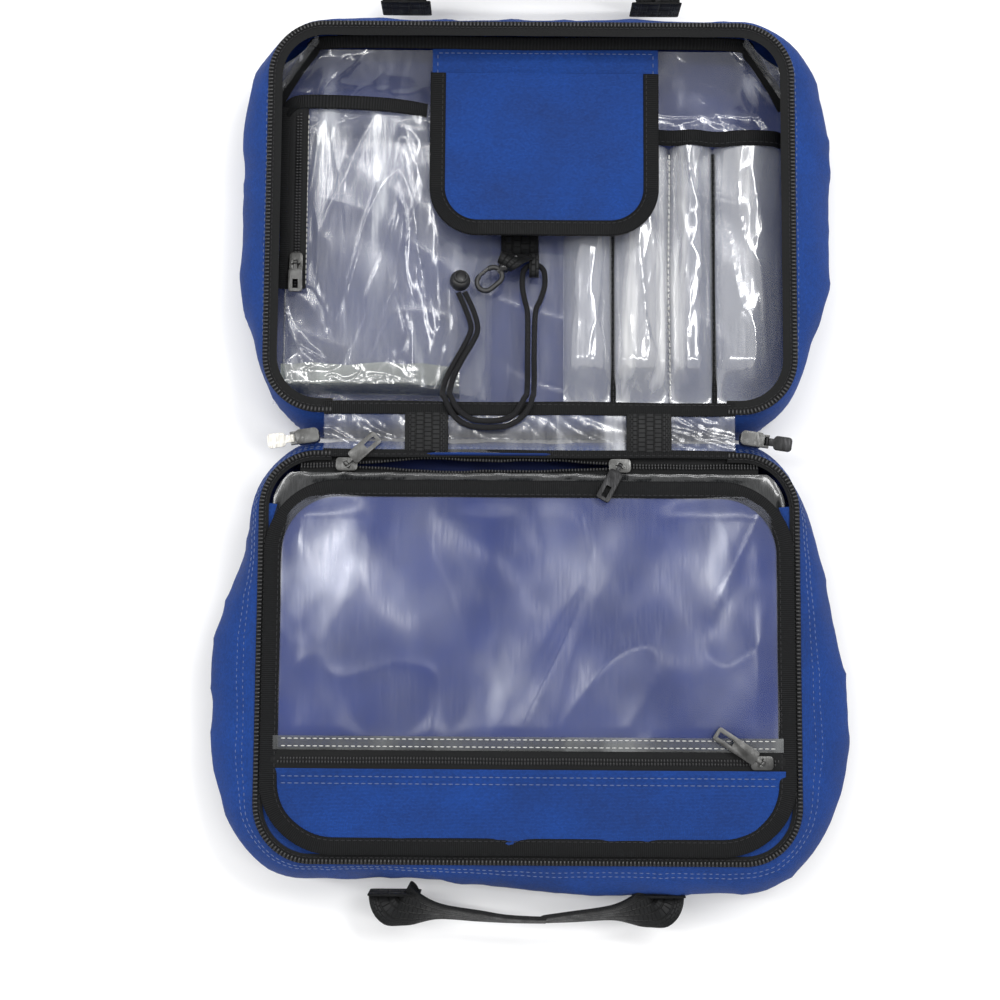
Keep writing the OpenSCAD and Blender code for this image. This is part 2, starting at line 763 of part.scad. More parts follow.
// Points of a smooth curve through the cord's own points
function blend(p, i, t) =
  let (
    a = p[max(i - 1, 0)], b = p[i], c = p[i + 1], d = p[min(i + 2, len(p) - 1)]
  )
  0.5 * (2 * b + (c - a) * t + (2 * a - 5 * b + 4 * c - d) * t * t
    + (3 * b - a - 3 * c + d) * t * t * t);
ring_step = 7;
cord_line = [
  for (i = [0:len(cord_points) - 2])
    for (t = norm(cord_points[i + 1] - cord_points[i]) > ring_step ? [0, 0.5] : [0])
      blend(cord_points, i, t),
  cord_points[len(cord_points) - 1]
];
function unit(v) = v / norm(v);
function along(p, i) = unit(p[min(i + 1, len(p) - 1)] - p[max(i - 1, 0)]);
function cord_ring(p, i) =
  let (
    t = along(p, i),
    u = unit(cross(t, [0.12, 0.1, 1])),
    v = cross(u, t)
  )
  [for (s = [0:cord_side - 1])
    p[i] + cord_d / 2 * (cos(360 * s / cord_side) * u + sin(360 * s / cord_side) * v)];

module cord_stop() {
  color(black) translate(stop_pos) sphere(stop_r, $fn = 40);
}
module elastic_cord() {
  n = len(cord_line);
  rings = [for (i = [0:n - 1]) cord_ring(cord_line, i)];
  sides = [for (i = [0:n - 2], s = [0:cord_side - 1], half = [0, 1])
    let (
      a = i * cord_side + s,
      b = i * cord_side + (s + 1) % cord_side,
      c = a + cord_side,
      d = b + cord_side
    )
    half == 0 ? [a, b, d] : [a, d, c]];
  caps = [
    [for (s = [cord_side - 1:-1:0]) s],
    [for (s = [0:cord_side - 1]) (n - 1) * cord_side + s]
  ];
  color(black) polyhedron(points = [for (r = rings) each r], faces = concat(sides, caps));
}

back_panel();
back_wall();
back_board();
back_liner();
back_zip();
back_spine_binding();
back_spine();
back_hinge_webs();
compartment_zip();
back_handle_anchors();
back_pad();
left_shoulder_strap();
right_shoulder_strap();
strap_webs();
ladder_locks();
strap_tabs();
cover_panel();
cover_window();
window_zip();
cover_lower_panel();
cover_binding();
cover_gusset();
left_compartment_slider();
left_compartment_pull();
right_compartment_slider();
right_compartment_pull();
left_main_slider();
left_main_pull();
right_main_slider();
right_main_pull();
window_slider();
window_pull();
pouch_slider();
pouch_pull();
back_handle();
front_handle();
front_panel();
front_wall();
front_board();
front_liner();
front_zip();
front_spine_binding();
front_spine();
front_hinge_webs();
front_handle_anchors();
full_pocket();
full_pocket_binding();
pouch_film();
pouch_binding();
pouch_zip();
tool_pockets();
tool_pocket_binding();
flap_strip();
centre_flap();
flap_binding();
web_tab();
snap_hook();
hook_gate();
cord_stop();
elastic_cord();
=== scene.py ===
import bisect
import math

import bmesh
import bpy
import numpy as np
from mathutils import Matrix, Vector, noise


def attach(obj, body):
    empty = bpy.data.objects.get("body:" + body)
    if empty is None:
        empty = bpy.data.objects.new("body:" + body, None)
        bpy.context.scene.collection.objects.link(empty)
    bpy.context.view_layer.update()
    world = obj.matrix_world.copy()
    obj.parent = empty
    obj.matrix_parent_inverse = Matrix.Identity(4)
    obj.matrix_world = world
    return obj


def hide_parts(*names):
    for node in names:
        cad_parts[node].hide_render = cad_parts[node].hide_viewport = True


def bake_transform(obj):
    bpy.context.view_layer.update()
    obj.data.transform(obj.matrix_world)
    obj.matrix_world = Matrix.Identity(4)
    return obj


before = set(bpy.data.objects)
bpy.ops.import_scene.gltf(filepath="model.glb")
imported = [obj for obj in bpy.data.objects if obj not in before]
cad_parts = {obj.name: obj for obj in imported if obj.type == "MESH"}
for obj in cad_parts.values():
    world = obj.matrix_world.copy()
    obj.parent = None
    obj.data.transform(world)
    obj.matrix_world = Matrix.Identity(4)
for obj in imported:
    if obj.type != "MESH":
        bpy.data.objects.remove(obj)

print("frame loaded")
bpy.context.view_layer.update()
mm = 0.001
scene = bpy.context.scene

# The camera looks almost straight down on the open bag
view = {"place": (-0.0156, -0.112, 0.857), "tilt": 5.3, "roll": 0.4, "lens": 52.56}
cameraData = bpy.data.cameras.new("camera")
cameraData.lens = view["lens"]
cameraData.sensor_width = 36
camera = bpy.data.objects.new("camera", cameraData)
camera.location = view["place"]
camera.rotation_euler = (math.radians(view["tilt"]), 0, math.radians(view["roll"]))
scene.collection.objects.link(camera)
scene.camera = camera
scene.view_settings.view_transform = "Standard"

# Sizes that the halves share, in millimetres, with y measured away from the spine
bag = {
    "halfW": 147, "near": 12.5, "far": 233.5, "rimR": 30, "endBulge": 20, "spineBulge": 9,
    "middle": 123, "zipLoop": 1066, "zipGap": 0.002,
}


# Small helpers, all in millimetres
def mix(a, b, t):
    return a + (b - a) * t


def smooth(t):
    t = min(1.0, max(0.0, t))
    return t * t * (3 - 2 * t)


def ripple(x, y, size, seed, turn=0.0, stretch=1.0):
    c, s = math.cos(math.radians(turn)), math.sin(math.radians(turn))
    a, b = (x * c + y * s) / size, (y * c - x * s) / (size * stretch)
    return noise.noise(Vector((a, b, seed * 7.31)))


def ridge(x, y, size, seed, turn=0.0, stretch=1.0):
    return (1 - abs(ripple(x, y, size, seed, turn, stretch)) * 2.2) ** 3


def deselect():
    if bpy.context.object and bpy.context.object.mode != "OBJECT":
        bpy.ops.object.mode_set(mode="OBJECT")
    bpy.ops.object.select_all(action="DESELECT")


def activate(obj):
    deselect()
    obj.select_set(True)
    bpy.context.view_layer.objects.active = obj


def applyModifier(obj, kind, **settings):
    activate(obj)
    modifier = obj.modifiers.new(kind.lower(), kind)
    for key, value in settings.items():
        setattr(modifier, key, value)
    if kind == "SUBSURF":
        modifier.render_levels = modifier.levels
    bpy.ops.object.modifier_apply(modifier=modifier.name)


def editAll(obj, *steps):
    activate(obj)
    bpy.ops.object.mode_set(mode="EDIT")
    bpy.ops.mesh.select_all(action="SELECT")
    for operator, settings in steps:
        operator(**settings)
    bpy.ops.object.mode_set(mode="OBJECT")


def settle(obj):
    activate(obj)
    bpy.ops.object.transform_apply(location=True, rotation=True, scale=True)
    return obj


def wrap(name, across, along, place, size, closed=(False, False), thick=0.0, flat=False,
         shrink=False):
    deselect()
    bpy.ops.mesh.primitive_grid_add(x_subdivisions=across, y_subdivisions=along, size=1)
    obj = bpy.context.object
    obj.name = obj.data.name = name
    start = np.zeros(len(obj.data.vertices) * 3)
    obj.data.vertices.foreach_get("co", start)
    start = start.reshape(-1, 3)[:, :2] + 0.5
    put = np.array([place(float(u), float(v)) for u, v in start], float) * mm
    layer = obj.data.uv_layers.active or obj.data.uv_layers.new(name="cloth")
    loops = np.zeros(len(obj.data.loops), np.int64)
    obj.data.loops.foreach_get("vertex_index", loops)
    pairs = put[loops][:, :2] if flat else start[loops] * (np.array(size) * mm)
    layer.data.foreach_set("uv", pairs.astype(np.float32).ravel())
    obj.data.vertices.foreach_set("co", put.ravel())
    steps = [(bpy.ops.mesh.remove_doubles, {"threshold": 2e-6})]
    if closed[0] or closed[1] or shrink:
        steps.append((bpy.ops.mesh.dissolve_degenerate, {"threshold": 1e-6}))
        steps.append((bpy.ops.mesh.normals_make_consistent, {"inside": False}))
    editAll(obj, *steps)
    if thick:
        applyModifier(obj, "SOLIDIFY", thickness=thick * mm, offset=0, use_even_offset=True)
    bpy.ops.object.shade_smooth_by_angle(angle=math.radians(40))
    return obj


def smoothLine(points, steps):
    made = []
    for i in range(len(points) - 1):
        a, b = Vector(points[max(i - 1, 0)]), Vector(points[i])
        c, d = Vector(points[i + 1]), Vector(points[min(i + 2, len(points) - 1)])
        for k in range(steps):
            t = k / steps
            made.append(0.5 * (2 * b + (c - a) * t + (2 * a - 5 * b + 4 * c - d) * t * t
                               + (3 * b - a - 3 * c + d) * t ** 3))
    made.append(Vector(points[-1]))
    return made


def lengthOf(line):
    return sum((b - a).length for a, b in zip(line, line[1:]))


def band(name, line, sides, width, thick, closed=False, around=12, power=0.35):
    line = [Vector(p) for p in line]
    sides = [Vector(s) for s in sides]
    count = len(line)
    frames = []
    for i in range(count):
        if closed:
            tangent = line[(i + 1) % count] - line[i - 1]
        else:
            tangent = line[min(i + 1, count - 1)] - line[max(i - 1, 0)]
        tangent.normalize()
        side = sides[i] - tangent * sides[i].dot(tangent)
        side.normalize()
        frames.append((line[i], side, tangent.cross(side)))
    widths = width if isinstance(width, (list, tuple)) else [width] * count
    total = lengthOf(line)
    if not closed:
        last = count + 1
        rings = [(frames[0], 0.0, widths[0])]
        rings += [(f, 1.0, w) for f, w in zip(frames, widths)]
        rings += [(frames[-1], 0.0, widths[-1])]
    else:
        last = count
        rings = [(f, 1.0, w) for f, w in zip(frames, widths)] + [(frames[0], 1.0, widths[0])]

    def place(u, v):
        (point, side, up), scale, w = rings[int(u * last + 0.5)]
        angle = 2 * math.pi * v
        c, s = math.cos(angle), math.sin(angle)
        a = math.copysign(abs(c) ** power, c) * w / 2
        b = math.copysign(abs(s) ** power, s) * thick / 2
        return point + (side * a + up * b) * scale

    obj = wrap(name, last, around, place, (total, 2 * (np.mean(widths) + thick)),
               closed=(closed, True), shrink=not closed)
    return obj


def loopPoint(s, halfX, lengthY, corner, x, y0, y1, r):
    # walks a rounded rectangle from the middle of its spine side, in shares of its length
    parts = [halfX, corner, lengthY, corner, 2 * halfX, corner, lengthY, corner, halfX]
    at = (s % 1.0) * sum(parts)
    k = 0
    while k < 8 and at > parts[k]:
        at -= parts[k]
        k += 1
    f = min(1.0, at / parts[k])
    cx, low, high = x - r, y0 + r, y1 - r
    straights = {0: ((mix(0, cx, f), y0), (0, -1)), 8: ((mix(-cx, 0, f), y0), (0, -1)),
                 2: ((x, mix(low, high, f)), (1, 0)), 4: ((mix(cx, -cx, f), y1), (0, 1)),
                 6: ((-x, mix(high, low, f)), (-1, 0))}
    if k in straights:
        point, way = straights[k]
        return Vector((*point, 0)), Vector((*way, 0))
    centre, start = {1: ((cx, low), -90), 3: ((cx, high), 0), 5: ((-cx, high), 90),
                     7: ((-cx, low), 180)}[k]
    angle = math.radians(start + 90 * f)
    way = Vector((math.cos(angle), math.sin(angle), 0))
    return Vector((*centre, 0)) + way * r, way


def outline(s, x, y0, y1, r):
    # every line round the bag keeps the rim's own shares, so that points match up
    halfX, lengthY = bag["halfW"] - bag["rimR"], bag["far"] - bag["near"] - 2 * bag["rimR"]
    return loopPoint(s, halfX, lengthY, math.pi / 2 * bag["rimR"], x, y0, y1, r)


def rounded(s, x, y0, y1, r):
    return loopPoint(s, x - r, y1 - y0 - 2 * r, math.pi / 2 * r, x, y0, y1, r)


def rimPoint(s, out=0.0):
    point, way = outline(s, bag["halfW"], bag["near"], bag["far"], bag["rimR"])
    return point + way * out, way


def side(half, point):
    return Vector((point[0], -point[1], point[2])) if half == "back" else Vector(point)


# Materials
def newMaterial(name, colour, rough, **sockets):
    material = bpy.data.materials.new(name)
    material.use_nodes = True
    tree = material.node_tree
    shader = tree.nodes["Principled BSDF"]
    shader.inputs["Base Color"].default_value = (*colour, 1)
    shader.inputs["Roughness"].default_value = rough
    for key, value in sockets.items():
        shader.inputs[key.replace("_", " ")].default_value = value
    return material, tree, shader


def add(tree, kind, settings=None, **inputs):
    made = tree.nodes.new(kind)
    for key, value in (settings or {}).items():
        setattr(made, key, value)
    for key, value in inputs.items():
        socket = made.inputs[key.replace("_", " ")]
        if isinstance(value, bpy.types.NodeSocket):
            tree.links.new(value, socket)
        else:
            socket.default_value = value
    return made


def ramp(tree, factor, stops):
    made = add(tree, "ShaderNodeValToRGB", Fac=factor)
    while len(made.color_ramp.elements) < len(stops):
        made.color_ramp.elements.new(0.5)
    for element, (place, value) in zip(made.color_ramp.elements, stops):
        element.position = place
        element.color = (*value, 1) if isinstance(value, tuple) else (value, value, value, 1)
    return made.outputs["Color"]


def coordinates(tree, scale, source="UV", turn=0.0):
    coords = add(tree, "ShaderNodeTexCoord")
    mapped = add(tree, "ShaderNodeMapping", Vector=coords.outputs[source],
                 Scale=scale if isinstance(scale, tuple) else (scale,) * 3,
                 Rotation=(0, 0, math.radians(turn)))
    return mapped.outputs["Vector"]


def grainOf(tree, scale, detail, turn=0.0, **more):
    return add(tree, "ShaderNodeTexNoise", Vector=coordinates(tree, scale, "Object", turn),
               Scale=1.0, Detail=detail, **more).outputs["Fac"]


def blendOf(tree, kind, factor, one, two):
    made = add(tree, "ShaderNodeMixRGB", {"blend_type": kind}, Fac=factor, Color1=one, Color2=two)
    return made.outputs["Color"]


def drive(tree, shader, socket, factor, stops):
    tree.links.new(ramp(tree, factor, stops), shader.inputs[socket])


def shade(colour, share):
    return tuple(c * share for c in colour)


def bump(tree, shader, height, distance, strength=1.0, normal=None):
    made = add(tree, "ShaderNodeBump", Height=height, Distance=distance, Strength=strength)
    if normal is not None:
        tree.links.new(normal, made.inputs["Normal"])
    tree.links.new(made.outputs["Normal"], shader.inputs["Normal"])
    return made.outputs["Normal"]


def wovenCloth(name, dark, light, thread, rough, depth, sheen=0.0, slub=0.5):
    # plain weave of two yarns, with slubs, faded patches and a rough face
    material, tree, shader = newMaterial(name, light, rough, Sheen_Weight=sheen,
                                         Sheen_Roughness=0.4, Specular_IOR_Level=0.22)
    weave = add(tree, "ShaderNodeTexBrick", {"offset": 0.5},
                Vector=coordinates(tree, 1 / thread), Color1=(0.9, 0.9, 0.9, 1),
                Color2=(0.62, 0.62, 0.62, 1), Mortar=(0.12, 0.12, 0.12, 1), Scale=1.0,
                Mortar_Size=0.07, Mortar_Smooth=0.7, Brick_Width=1.6, Row_Height=0.8)
    slubs = grainOf(tree, 900, 3.0)
    patches = grainOf(tree, 22, 5.0, Roughness=0.6)
    yarn = blendOf(tree, "MIX", ramp(tree, weave.outputs["Color"], [(0.1, 0.0), (0.85, 1.0)]),
                   (*dark, 1), (*light, 1))
    worn = blendOf(tree, "MULTIPLY", 1.0, yarn, ramp(tree, patches, [(0.3, 0.74), (0.7, 1.12)]))
    fuzzy = blendOf(tree, "MULTIPLY", slub, worn, ramp(tree, slubs, [(0.35, 0.75), (0.65, 1.1)]))
    tree.links.new(fuzzy, shader.inputs["Base Color"])
    drive(tree, shader, "Roughness", patches,
          [(0.2, max(0.0, rough - 0.12)), (0.8, min(1.0, rough + 0.1))])
    first = bump(tree, shader, slubs, 0.00012, slub)
    bump(tree, shader, weave.outputs["Color"], depth, 0.8, first)
    return material


def ribbedTape(name, colour, rib, rough=0.62, across=False):
    # woven tape: fine ribs square to its length, with a painted highlight on each rib crown and
    # painted shade between the ribs
    material, tree, shader = newMaterial(name, colour, rough, Sheen_Weight=0.02,
                                         Sheen_Roughness=0.35, Specular_IOR_Level=0.16)
    ribs = add(tree, "ShaderNodeTexWave",
               {"wave_type": "BANDS", "bands_direction": "Y" if across else "X"},
               Vector=coordinates(tree, 1 / rib), Scale=0.3183, Distortion=0.6, Detail=1.0,
               Detail_Scale=2.0)
    lint = grainOf(tree, 260, 6.0, Roughness=0.7)
    # painted highlight on the rib crowns and painted shade in the grooves between them
    ribHighlightAndShade = ramp(tree, ribs.outputs["Fac"],
                 [(0.15, shade(colour, 0.45)), (0.9, shade(colour, 1.5))])
    dusty = blendOf(tree, "ADD", ramp(tree, lint, [(0.52, 0.0), (0.8, 0.35)]), ribHighlightAndShade,
                    (0.016, 0.017, 0.019, 1))
    tree.links.new(dusty, shader.inputs["Base Color"])
    drive(tree, shader, "Roughness", lint, [(0.3, rough - 0.1), (0.7, rough + 0.12)])
    bump(tree, shader, ribs.outputs["Fac"], 0.00022, 0.9)
    return material


def webbing(name, colour, pitch):
    # heavy carrying web: rows of long floats set half a step apart
    material, tree, shader = newMaterial(name, colour, 0.5, Sheen_Weight=0.02,
                                         Sheen_Roughness=0.3, Specular_IOR_Level=0.22)
    floats = add(tree, "ShaderNodeTexBrick", {"offset": 0.5},
                 Vector=coordinates(tree, 1 / pitch), Scale=1.0, Mortar_Size=0.09,
                 Mortar_Smooth=1.0, Brick_Width=0.9, Row_Height=0.55,
                 Color1=(1, 1, 1, 1), Color2=(0.7, 0.7, 0.7, 1), Mortar=(0.05, 0.05, 0.05, 1))
    lint = grainOf(tree, 180, 6.0)
    tone = ramp(tree, floats.outputs["Color"],
                [(0.1, shade(colour, 0.3)), (0.9, shade(colour, 1.6))])
    dusty = blendOf(tree, "ADD", ramp(tree, lint, [(0.5, 0.0), (0.85, 0.4)]), tone,
                    (0.014, 0.014, 0.016, 1))
    tree.links.new(dusty, shader.inputs["Base Color"])
    drive(tree, shader, "Roughness", lint, [(0.3, 0.42), (0.75, 0.68)])
    bump(tree, shader, floats.outputs["Color"], 0.0005, 0.9)
    return material


def clearFilm(name, tint, haze, highlightStreak, rough=0.12, long=9.0, turn=14.0, fine=60, ior=2.3,
              patches=(0.72, 1.2)):
    # clear vinyl: see-through and glossy, with whiter, more opaque streaks that run one way: partly
    # milky stretch marks, partly painted highlights
    material, tree, shader = newMaterial(name, tint, rough, IOR=ior, Specular_IOR_Level=1.0)
    stretchAndHighlightStreaks = grainOf(tree, (fine, long, fine), 3.0, turn, Roughness=0.5, Distortion=0.3)
    broad = grainOf(tree, 16, 2.0)
    scuffs = grainOf(tree, (900, 60, 400), 3.0, -30)
    # opacity rises along the streaks: partly milky stretch marks, partly painted highlights
    hazeAndHighlightAlpha = ramp(tree, stretchAndHighlightStreaks, [(0.46, haze), (0.6, haze * 1.35), (0.74, highlightStreak)])
    # broad patches of more and less opaque film, lighter and darker: painted light and shade
    lightAndShadePatches = ramp(tree, broad, [(0.3, patches[0]), (0.7, patches[1])])
    both = blendOf(tree, "MULTIPLY", 1.0, hazeAndHighlightAlpha, lightAndShadePatches)
    tree.links.new(both, shader.inputs["Alpha"])
    # the streaks also turn the colour whiter: painted highlights, partly real stress whitening
    drive(tree, shader, "Base Color", stretchAndHighlightStreaks,
          [(0.5, tint), (0.75, tuple(min(0.9, c * 1.8) for c in tint))])
    drive(tree, shader, "Roughness", scuffs, [(0.45, rough), (0.7, rough + 0.1)])
    bump(tree, shader, stretchAndHighlightStreaks, 0.0005, 0.4)
    return material


def castZinc(name, colour, rough):
    # die-cast metal with a fine cast grain, handling scratches and darker recesses
    material, tree, shader = newMaterial(name, colour, rough, Metallic=1.0)
    grain = grainOf(tree, 700, 5.0, Roughness=0.65)
    scratches = grainOf(tree, (2600, 160, 500), 2.0, 38)
    stain = grainOf(tree, 130, 3.0)
    drive(tree, shader, "Base Color", stain, [(0.3, shade(colour, 0.55)), (0.6, colour)])
    drive(tree, shader, "Roughness", scratches, [(0.4, rough - 0.08), (0.7, rough + 0.2)])
    first = bump(tree, shader, scratches, 0.00004, 0.5)
    bump(tree, shader, grain, 0.00007, 0.6, first)
    return material


def mouldedPlastic(name, colour, rough, grainDepth=0.00003, coat=0.0):
    material, tree, shader = newMaterial(name, colour, rough, Coat_Weight=coat,
                                         Coat_Roughness=0.08, Specular_IOR_Level=0.55)
    grain = grainOf(tree, 1500, 4.0)
    scuffs = grainOf(tree, (1200, 110, 500), 3.0, 25)
    drive(tree, shader, "Base Color", scuffs,
          [(0.35, shade(colour, 0.8)), (0.75, tuple(c * 1.5 + 0.006 for c in colour))])
    drive(tree, shader, "Roughness", scuffs, [(0.4, rough), (0.72, rough + 0.2)])
    bump(tree, shader, grain, grainDepth, 0.6)
    return material


def braidedCord(name, colour, pitch):
    # woven elastic sheath: two sets of yarns crossing round the cord
    material, tree, shader = newMaterial(name, colour, 0.6, Sheen_Weight=0.02,
                                         Specular_IOR_Level=0.18)
    one = add(tree, "ShaderNodeTexWave", {"bands_direction": "X"},
              Vector=coordinates(tree, 1 / pitch, "UV", 38), Scale=0.3183)
    other = add(tree, "ShaderNodeTexWave", {"bands_direction": "X"},
                Vector=coordinates(tree, 1 / pitch, "UV", -38), Scale=0.3183)
    yarns = blendOf(tree, "LIGHTEN", 1.0, one.outputs["Color"], other.outputs["Color"])
    lint = grainOf(tree, 700, 4.0)
    drive(tree, shader, "Base Color", yarns,
          [(0.2, shade(colour, 0.35)), (0.95, shade(colour, 1.8))])
    drive(tree, shader, "Roughness", lint, [(0.3, 0.48), (0.7, 0.75)])
    bump(tree, shader, yarns, 0.0003, 0.9)
    return material


def airMesh(name, colour, hole):
    # spacer mesh over foam: rows of small round holes
    material, tree, shader = newMaterial(name, colour, 0.8, Sheen_Weight=0.35)
    holes = add(tree, "ShaderNodeTexVoronoi", {"feature": "F1"}, Randomness=0.18,
                Vector=coordinates(tree, 1 / hole, "Object"), Scale=1.0)
    lint = grainOf(tree, 240, 5.0)
    drive(tree, shader, "Base Color", holes.outputs["Distance"],
          [(0.22, shade(colour, 0.2)), (0.4, colour)])
    drive(tree, shader, "Roughness", lint, [(0.3, 0.7), (0.7, 0.92)])
    bump(tree, shader, holes.outputs["Distance"], 0.0009, 0.8)
    return material


def paint(obj, material):
    obj.data.materials.clear()
    obj.data.materials.append(material)


cordura = wovenCloth("royalCordura", (0.003, 0.017, 0.1), (0.008, 0.052, 0.26), 0.0009, 0.74,
                     0.00028, sheen=0.03)
liningCloth = wovenCloth("liningCloth", (0.0115, 0.0245, 0.129), (0.0135, 0.029, 0.15), 0.0005, 0.6,
                         0.00002, sheen=0.02, slub=0.08)
bindingTape = ribbedTape("bindingTape", (0.0042, 0.0045, 0.005), 0.0011)
zipTape = wovenCloth("zipTape", (0.003, 0.003, 0.0035), (0.008, 0.0085, 0.009), 0.0007, 0.7, 0.0002)
zipTooth = mouldedPlastic("zipTooth", (0.008, 0.008, 0.009), 0.34)
carryWeb = webbing("carryWeb", (0.0045, 0.0048, 0.0052), 0.0026)
spineVinyl = clearFilm("spineVinyl", (0.32, 0.33, 0.36), 0.12, 0.55, turn=60)
pocketVinyl = clearFilm("pocketVinyl", (0.34, 0.36, 0.44), 0.1, 0.26)
pouchVinyl = clearFilm("pouchVinyl", (0.45, 0.47, 0.52), 0.085, 0.6, long=6.0, turn=8)
toolVinyl = clearFilm("toolVinyl", (0.68, 0.7, 0.75), 0.26, 0.9, long=4.0, turn=3)
# the window takes strong broad patches: painted light and shade across the film
windowVinyl = clearFilm("windowVinyl", (0.3, 0.33, 0.46), 0.055, 0.3, rough=0.2, long=9, turn=32,
                        fine=19, patches=(0.3, 1.4))
guardVinyl = clearFilm("guardVinyl", (0.075, 0.08, 0.082), 0.4, 0.55, rough=0.25, turn=80, ior=1.45)
cornerVinyl = clearFilm("cornerVinyl", (0.5, 0.51, 0.51), 0.2, 0.85, turn=45, long=30, fine=130)
gussetVinyl = mouldedPlastic("gussetVinyl", (0.012, 0.013, 0.014), 0.22, 0.00008, coat=0.7)
zinc = castZinc("castZinc", (0.1, 0.1, 0.098), 0.36)
darkZinc = castZinc("darkZinc", (0.032, 0.032, 0.033), 0.42)
creamTab = mouldedPlastic("creamTab", (0.62, 0.6, 0.55), 0.3, coat=0.5)
glossBlack = mouldedPlastic("glossBlack", (0.007, 0.007, 0.008), 0.2, coat=0.15)
mattBlack = mouldedPlastic("mattBlack", (0.014, 0.014, 0.015), 0.45, 0.00008)
stopRubber = mouldedPlastic("stopRubber", (0.008, 0.008, 0.009), 0.4, 0.00006, coat=0.08)
cordSheath = braidedCord("cordSheath", (0.008, 0.008, 0.009), 0.0011)
padMesh = airMesh("padMesh", (0.03, 0.031, 0.033), 0.0028)
boardFoam = airMesh("boardFoam", (0.16, 0.16, 0.17), 0.0016)
whiteThread = ribbedTape("whiteThread", (0.62, 0.62, 0.6), 0.0006, 0.55)
paleThread = ribbedTape("paleThread", (0.12, 0.16, 0.3), 0.0006, 0.55)
blackThread = ribbedTape("blackThread", (0.03, 0.03, 0.032), 0.0006, 0.55)
print("materials made")


# Repeated small parts: one is modelled, the rest are copies of it
def spread(name, model, frames, material):
    count = len(model.data.vertices)
    base = np.zeros(count * 3)
    model.data.vertices.foreach_get("co", base)
    base = base.reshape(-1, 3)
    polygons = [list(p.vertices) for p in model.data.polygons]
    points, faces = [], []
    for k, (point, tangent, normal) in enumerate(frames):
        x = Vector(tangent).normalized()
        z = Vector(normal)
        z = (z - x * z.dot(x)).normalized()
        y = z.cross(x)
        turn = np.array([x, y, z])
        points.append(base @ turn + np.array(point) * mm)
        faces += [[i + k * count for i in p] for p in polygons]
    mesh = bpy.data.meshes.new(name)
    mesh.from_pydata(np.concatenate(points).tolist(), [], faces)
    obj = bpy.data.objects.new(name, mesh)
    scene.collection.objects.link(obj)
    layer = mesh.uv_layers.new(name="cloth")
    loops = np.zeros(len(mesh.loops), np.int64)
    mesh.loops.foreach_get("vertex_index", loops)
    layer.data.foreach_set("uv", np.tile(base, (len(frames), 1))[loops][:, :2].astype(
        np.float32).ravel())
    bpy.data.objects.remove(model)
    activate(obj)
    bpy.ops.object.shade_smooth_by_angle(angle=math.radians(50))
    paint(obj, material)
    return obj


def stitchModel(length, width):
    deselect()
    bpy.ops.mesh.primitive_uv_sphere_add(segments=6, ring_count=4, radius=0.5)
    obj = bpy.context.object
    editAll(obj, (bpy.ops.transform.resize, {"value": (length * mm, width * mm, width * mm * 0.8)}))
    return settle(obj)


def toothModel(wide, pitch, tall):
    deselect()
    bpy.ops.mesh.primitive_cube_add(size=1)
    obj = bpy.context.object
    editAll(obj, (bpy.ops.transform.resize, {"value": (pitch * 0.62 * mm, wide * mm, tall * mm)}),
            (bpy.ops.mesh.bevel, {"offset": 0.32 * mm, "segments": 1}))
    return settle(obj)


def walk(line, pitch, closed=False):
    line = [Vector(p) for p in line]
    if closed:
        line = line + [line[0]]
    marks = [0.0]
    for a, b in zip(line, line[1:]):
        marks.append(marks[-1] + (b - a).length)
    count = int(marks[-1] / pitch)
    made = []
    for k in range(count):
        at = (k + 0.5) * marks[-1] / count
        i = min(bisect.bisect_right(marks, at), len(marks) - 1)
        a, b = line[i - 1], line[i]
        t = (at - marks[i - 1]) / max(1e-9, marks[i] - marks[i - 1])
        made.append((a.lerp(b, t), (b - a).normalized()))
    return made


def stitchRow(name, line, up, pitch, material, width=0.75, lift=0.1, closed=False):
    frames = [(p + Vector(up) * lift, t, up) for p, t in walk(line, pitch, closed)]
    return spread(name, stitchModel(pitch * 0.78, width), frames, material)


def finishPiece(obj, body, slot, *nodes, look=None):
    if look:
        paint(obj, look)
    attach(obj, body)
    if nodes:
        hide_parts(*nodes)
    return obj


# Outer shells: a bulging wall, a base panel, board and lining on each half
shell = {
    "front": {"base": 0, "bulge": 25, "near": 0.3, "reach": 80, "fall": 0.5, "taper": 165,
              "left": 0.72, "seed": 3, "end": (0.5, 0.5), "tape": -6.0,
              "profile": [(0.93, 1.6), (0.99, 6.5), (1.02, 22), (1.0, 36), (0.62, 47.5),
                          (0.0, 55.3)]},
    "back": {"base": 15, "bulge": 31, "near": 0.25, "reach": 130, "fall": 0.5, "taper": 168,
             "left": 0.94, "seed": 9, "end": (0.55, 1.0), "tape": -3.4,
             "profile": [(0.93, 16.6), (0.99, 21), (1.02, 29), (1.0, 37), (0.62, 47.5),
                         (0.0, 55.3)]},
}


def profileAt(half, t):
    rows = shell[half]["profile"]
    at = t * (len(rows) - 1)
    i = min(int(at), len(rows) - 2)
    f = at - i
    rows = [Vector((*r, 0)) for r in rows]
    a, b, c, d = rows[max(i - 1, 0)], rows[i], rows[i + 1], rows[min(i + 2, len(rows) - 1)]
    got = 0.5 * (2 * b + (c - a) * f + (2 * a - 5 * b + 4 * c - d) * f * f
                 + (3 * b - a - 3 * c + d) * f ** 3)
    return max(0.0, got[0]), got[1]


def endShare(half, inner):
    # the handle end stands out less than the sides, and on the back half less at one corner
    spec = shell[half]
    at = smooth((inner[1] - 120) / 100)
    low, high = spec["end"]
    return mix(1.0, mix(low, high, smooth((inner[0] + 130) / 190)), at)


def reachShare(spec, inner):
    share = mix(spec["near"], 1.0, smooth((inner[1] - 8) / spec["reach"]))
    share *= 1 - spec["fall"] * smooth((inner[1] - spec["taper"]) / 75)
    return share * (spec["left"] if inner[0] < 0 else 1.0)


